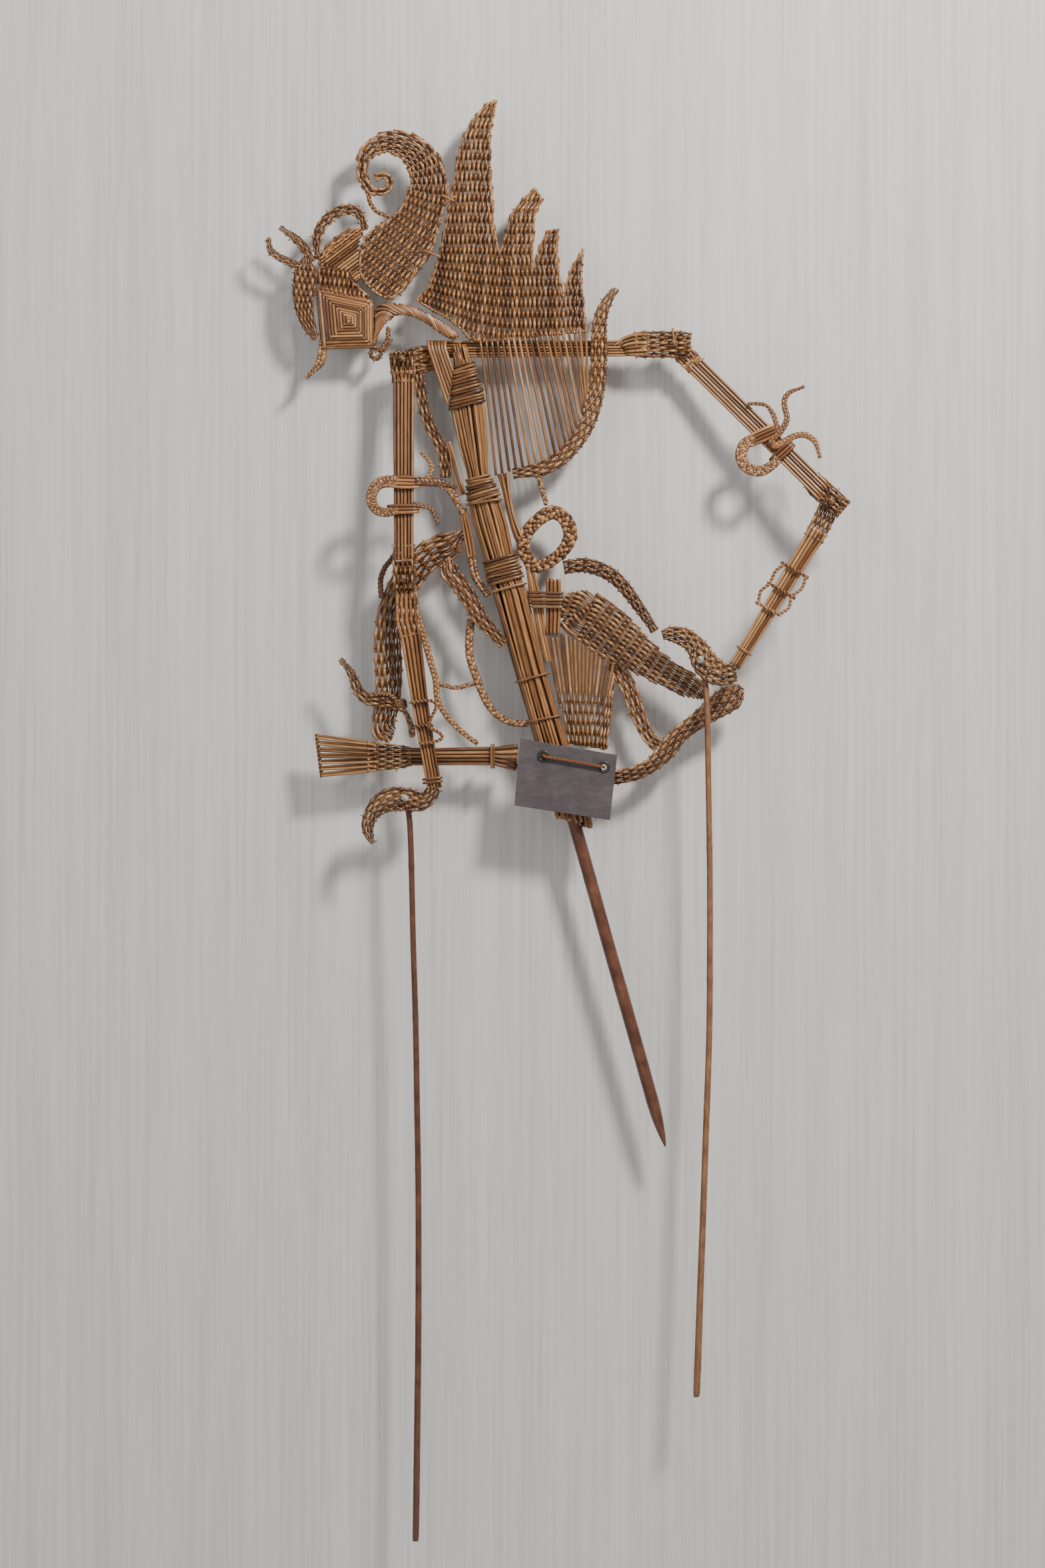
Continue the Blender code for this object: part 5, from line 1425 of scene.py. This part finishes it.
def label_eyelet(node):
    """A rounded flange and the short tube behind it."""
    low, high = box_mm(node)
    x, z = (low[0] + high[0]) / 2, (low[2] + high[2]) / 2
    outer = (high[0] - low[0]) / 2
    angle = np.linspace(0, 2 * np.pi, 40, endpoint=False)
    round_it = np.stack([np.cos(angle), np.sin(angle)], axis=1)
    made = [strand(lifted((x, z) + (outer - 1.1) * round_it, low[1] + 0.45), 1.05, 0.42, closed=True)]
    for y in np.arange(low[1] + 0.9, high[1], 0.5):
        made.append(strand(lifted((x, z) + (outer - 1.85) * round_it, y), 0.32, 1.0, closed=True))
    place(f"{node}_ring", stalk_mesh(node, made, 12), "eyelet_black", node)


def label_cord():
    """The twisted cord through the tag's holes and round the bundle."""
    (lx, lz), (rx, rz) = place_of("label_flap"), (17.5, 38.7)
    front, rear = box_mm("label_cord")[0][1] + 0.95, -7.9
    loop = [
        (lx + 0.9, front, lz - 0.2), (rx - 0.9, front, rz + 0.2), (rx, front + 0.9, rz), (rx, rear - 0.9, rz),
        (rx - 1, rear, rz + 0.4), (4, rear, 43), (0.6, rear + 1.2, 43.6), (0.2, 6.4, 43.6), (-1.6, 8, 43.4),
        (-12, 8.3, 42), (-23, 8, 40.8), (-25.2, 6, 40.6), (-25.4, rear + 1.4, 40.8), (-24.4, rear, 42),
        (lx - 0.9, rear, lz - 0.4), (lx, rear - 0.9, lz), (lx, front + 0.9, lz), (lx + 0.9, front, lz - 0.2)]
    stalks("label_cord", twisted(loop, 0.95, 3.6), "cord")


# ---------------------------------------------------------------- stage

def stage():
    """A pale wall behind the figure, a pale floor and soft lights."""
    back = 0.026
    wall = quad("wall", [(-1.5, back, -1.0), (1.5, back, -1.0), (1.5, back, 1.6), (-1.5, back, 1.6)])
    down = cad_box[0][2] - 0.16
    floor = quad("floor", [(-3, -3, down), (3, -3, down), (3, 3, down), (-3, 3, down)])
    soft_light("key", (0.70, -1.05, 1.35), 0.26, 41.0, (1.0, 0.965, 0.92))
    soft_light("fill", (-1.2, -1.6, 0.8), 1.2, 9.0, (0.94, 0.97, 1.0))
    soft_light("rim", (0.6, 1.4, 0.9), 0.9, 16.0, (1, 1, 1))
    world = bpy.data.worlds.new("world")
    world.use_nodes = True
    sky = world.node_tree.nodes["Background"].inputs
    sky["Color"].default_value = (0.80, 0.83, 0.87, 1)
    sky["Strength"].default_value = 0.36
    bpy.context.scene.world = world


def quad(name, corners):
    """A flat square of the material with the same name."""
    mesh = bpy.data.meshes.new(name)
    mesh.from_pydata(corners, [], [(0, 1, 2, 3)])
    mesh.materials.append(MATERIAL[name])
    thing = bpy.data.objects.new(name, mesh)
    bpy.context.scene.collection.objects.link(thing)
    return thing


def soft_light(name, at, size, power, colour):
    """A square area light that faces the figure's middle."""
    light = bpy.data.lights.new(name, "AREA")
    light.size = size
    light.energy = power
    light.color = colour
    thing = bpy.data.objects.new(name, light)
    thing.location = at
    thing.rotation_euler = (Vector((-0.04, 0, 0.15)) - Vector(at)).to_track_quat("-Z", "Y").to_euler()
    bpy.context.scene.collection.objects.link(thing)


def camera():
    """Straight on from the front, far enough back that the flat figure shows little depth."""
    distance, view_height, film = 3.2, 0.9878, 36
    made = bpy.data.cameras.new("camera")
    made.sensor_width = film
    made.lens = film * distance / view_height
    thing = bpy.data.objects.new("camera", made)
    thing.location = ((-33.6 - GRIP[0]) * MM, -distance, (28.1 - GRIP[2]) * MM)
    thing.rotation_euler = (math.pi / 2, 0, 0)
    bpy.context.scene.collection.objects.link(thing)
    bpy.context.scene.camera = thing


# ---------------------------------------------------------------- the whole figure

def figure():
    main_rod()
    spine_bundle()
    binding("upper_binding", 293, 266, 13, 0.98)
    binding("waist_binding", 222, 205, 9, 0.95)
    binding("hip_binding", 171, 155.5, 8, 0.95)
    binding("ring_tie", 152.6, 150.6, 1, 0.8)
    binding("lower_tie_upper", 96, 94, 1, 0.75)
    binding("lower_tie_lower", 70, 68, 1, 0.75)
    collar_straws()
    shoulder_bar()
    woven("neck_arch", ("slanted", 2.3, 11, 1.1))
    woven("neck_pendant", ("braid", 3, 7), ("ring", 2, 2), ("braid", 3, 7))
    face_lozenge()
    woven("forehead_band", ("weave", 9, 4.0), ("weave", 5, 4.0), ("weave", 5, 4.0))
    woven("horn_loop", ("weave", 5, 4.2))
    temple_fan()
    temple_weave()
    crown_scroll()
    wing_fan()
    woven("wing_rim", ("weave", 5, 4.6), ("braid", 3, 7.5))
    woven("chest_braid", ("weave", 5, 5.2), ("stalks", 3))
    hip_ring()
    hip_post()
    woven("back_strap", ("weave", 5, 4.8))
    woven("rear_thigh", ("even", 1.5, 6.6))
    woven("rear_shin", ("weave", 6, 5.2))
    woven("shin_strap", ("weave", 6, 5.6))
    apron()
    woven("front_leg", ("weave", 10, 7.6))
    woven("knee_ring", ("braid", 3, 8))
    woven("anklet", ("weave", 5, 4.2), ("braid", 3, 7))
    front_foot()
    foot_tie()
    woven("hip_sash", ("weave", 6, 5.4))
    woven("side_cord", ("stalks", 3), ("braid", 4, 11))
    woven("sash_long", ("braid", 3, 9.5))
    woven("front_cord", ("braid", 3, 9), ("braid", 3, 6.5))
    tie_piece("front_shoulder_tie", "front_shoulder")
    tie_piece("rear_shoulder_tie", "rear_shoulder", stubs=((-0.1, 0.99, 9.5), (0.25, 0.97, 8.0)))
    label_cord()
    front_upper_arm()
    armlet("front_armlet", [(-112, 217.8, 7), (-119, 218, 8), (-125.4, 215.4, 7.6), (-128.6, 208, 7),
                            (-126, 200.8, 6.6), (-119.5, 198.4, 6), (-112, 199.6, 5.4)],
           [((-119, 218), (-97.6, 217.4), 4), ((-118.6, 200.6), (-98.6, 200.8), 3)])
    tie_piece("front_elbow_tie", "front_elbow")
    front_forearm()
    front_bracelet()
    wrist_binding("front_wrist_binding", (-90.4, 32.6, 10.4), (-89.9, 28.2, 10.4), 2, 0.95)
    tie_piece("front_thread_tie", "front_rod_swing", "thread", 0.62, 5)
    rod("front_rod", "dark_wood", 95)
    rear_upper_arm()
    armlet("rear_armlet", [(112, 243.6, 7), (106.8, 242.4, 7.6), (103.8, 235, 7.6), (106.8, 227.6, 7.4),
                           (115.4, 224.6, 7), (122.6, 228, 6.4), (127, 232.4, 6)],
           [((107.6, 243), (128.6, 252.4), 4), ((123, 230.4), (136.4, 242.4), 3)])
    tie_piece("rear_elbow_tie", "rear_elbow")
    rear_forearm()
    rear_bracelet()
    wrist_binding("rear_wrist_binding", (106.4, 113.2, 9), (104.6, 110.4, 9), 1, 0.8)
    tie_piece("rear_thread_tie", "rear_rod_swing", "thread", 0.62, 5)
    rod("rear_rod", "light_wood", 82)
    label_board()
    label_eyelet("label_eyelet_left")
    label_eyelet("label_eyelet_right")


make_materials()
stage()
camera()
figure()
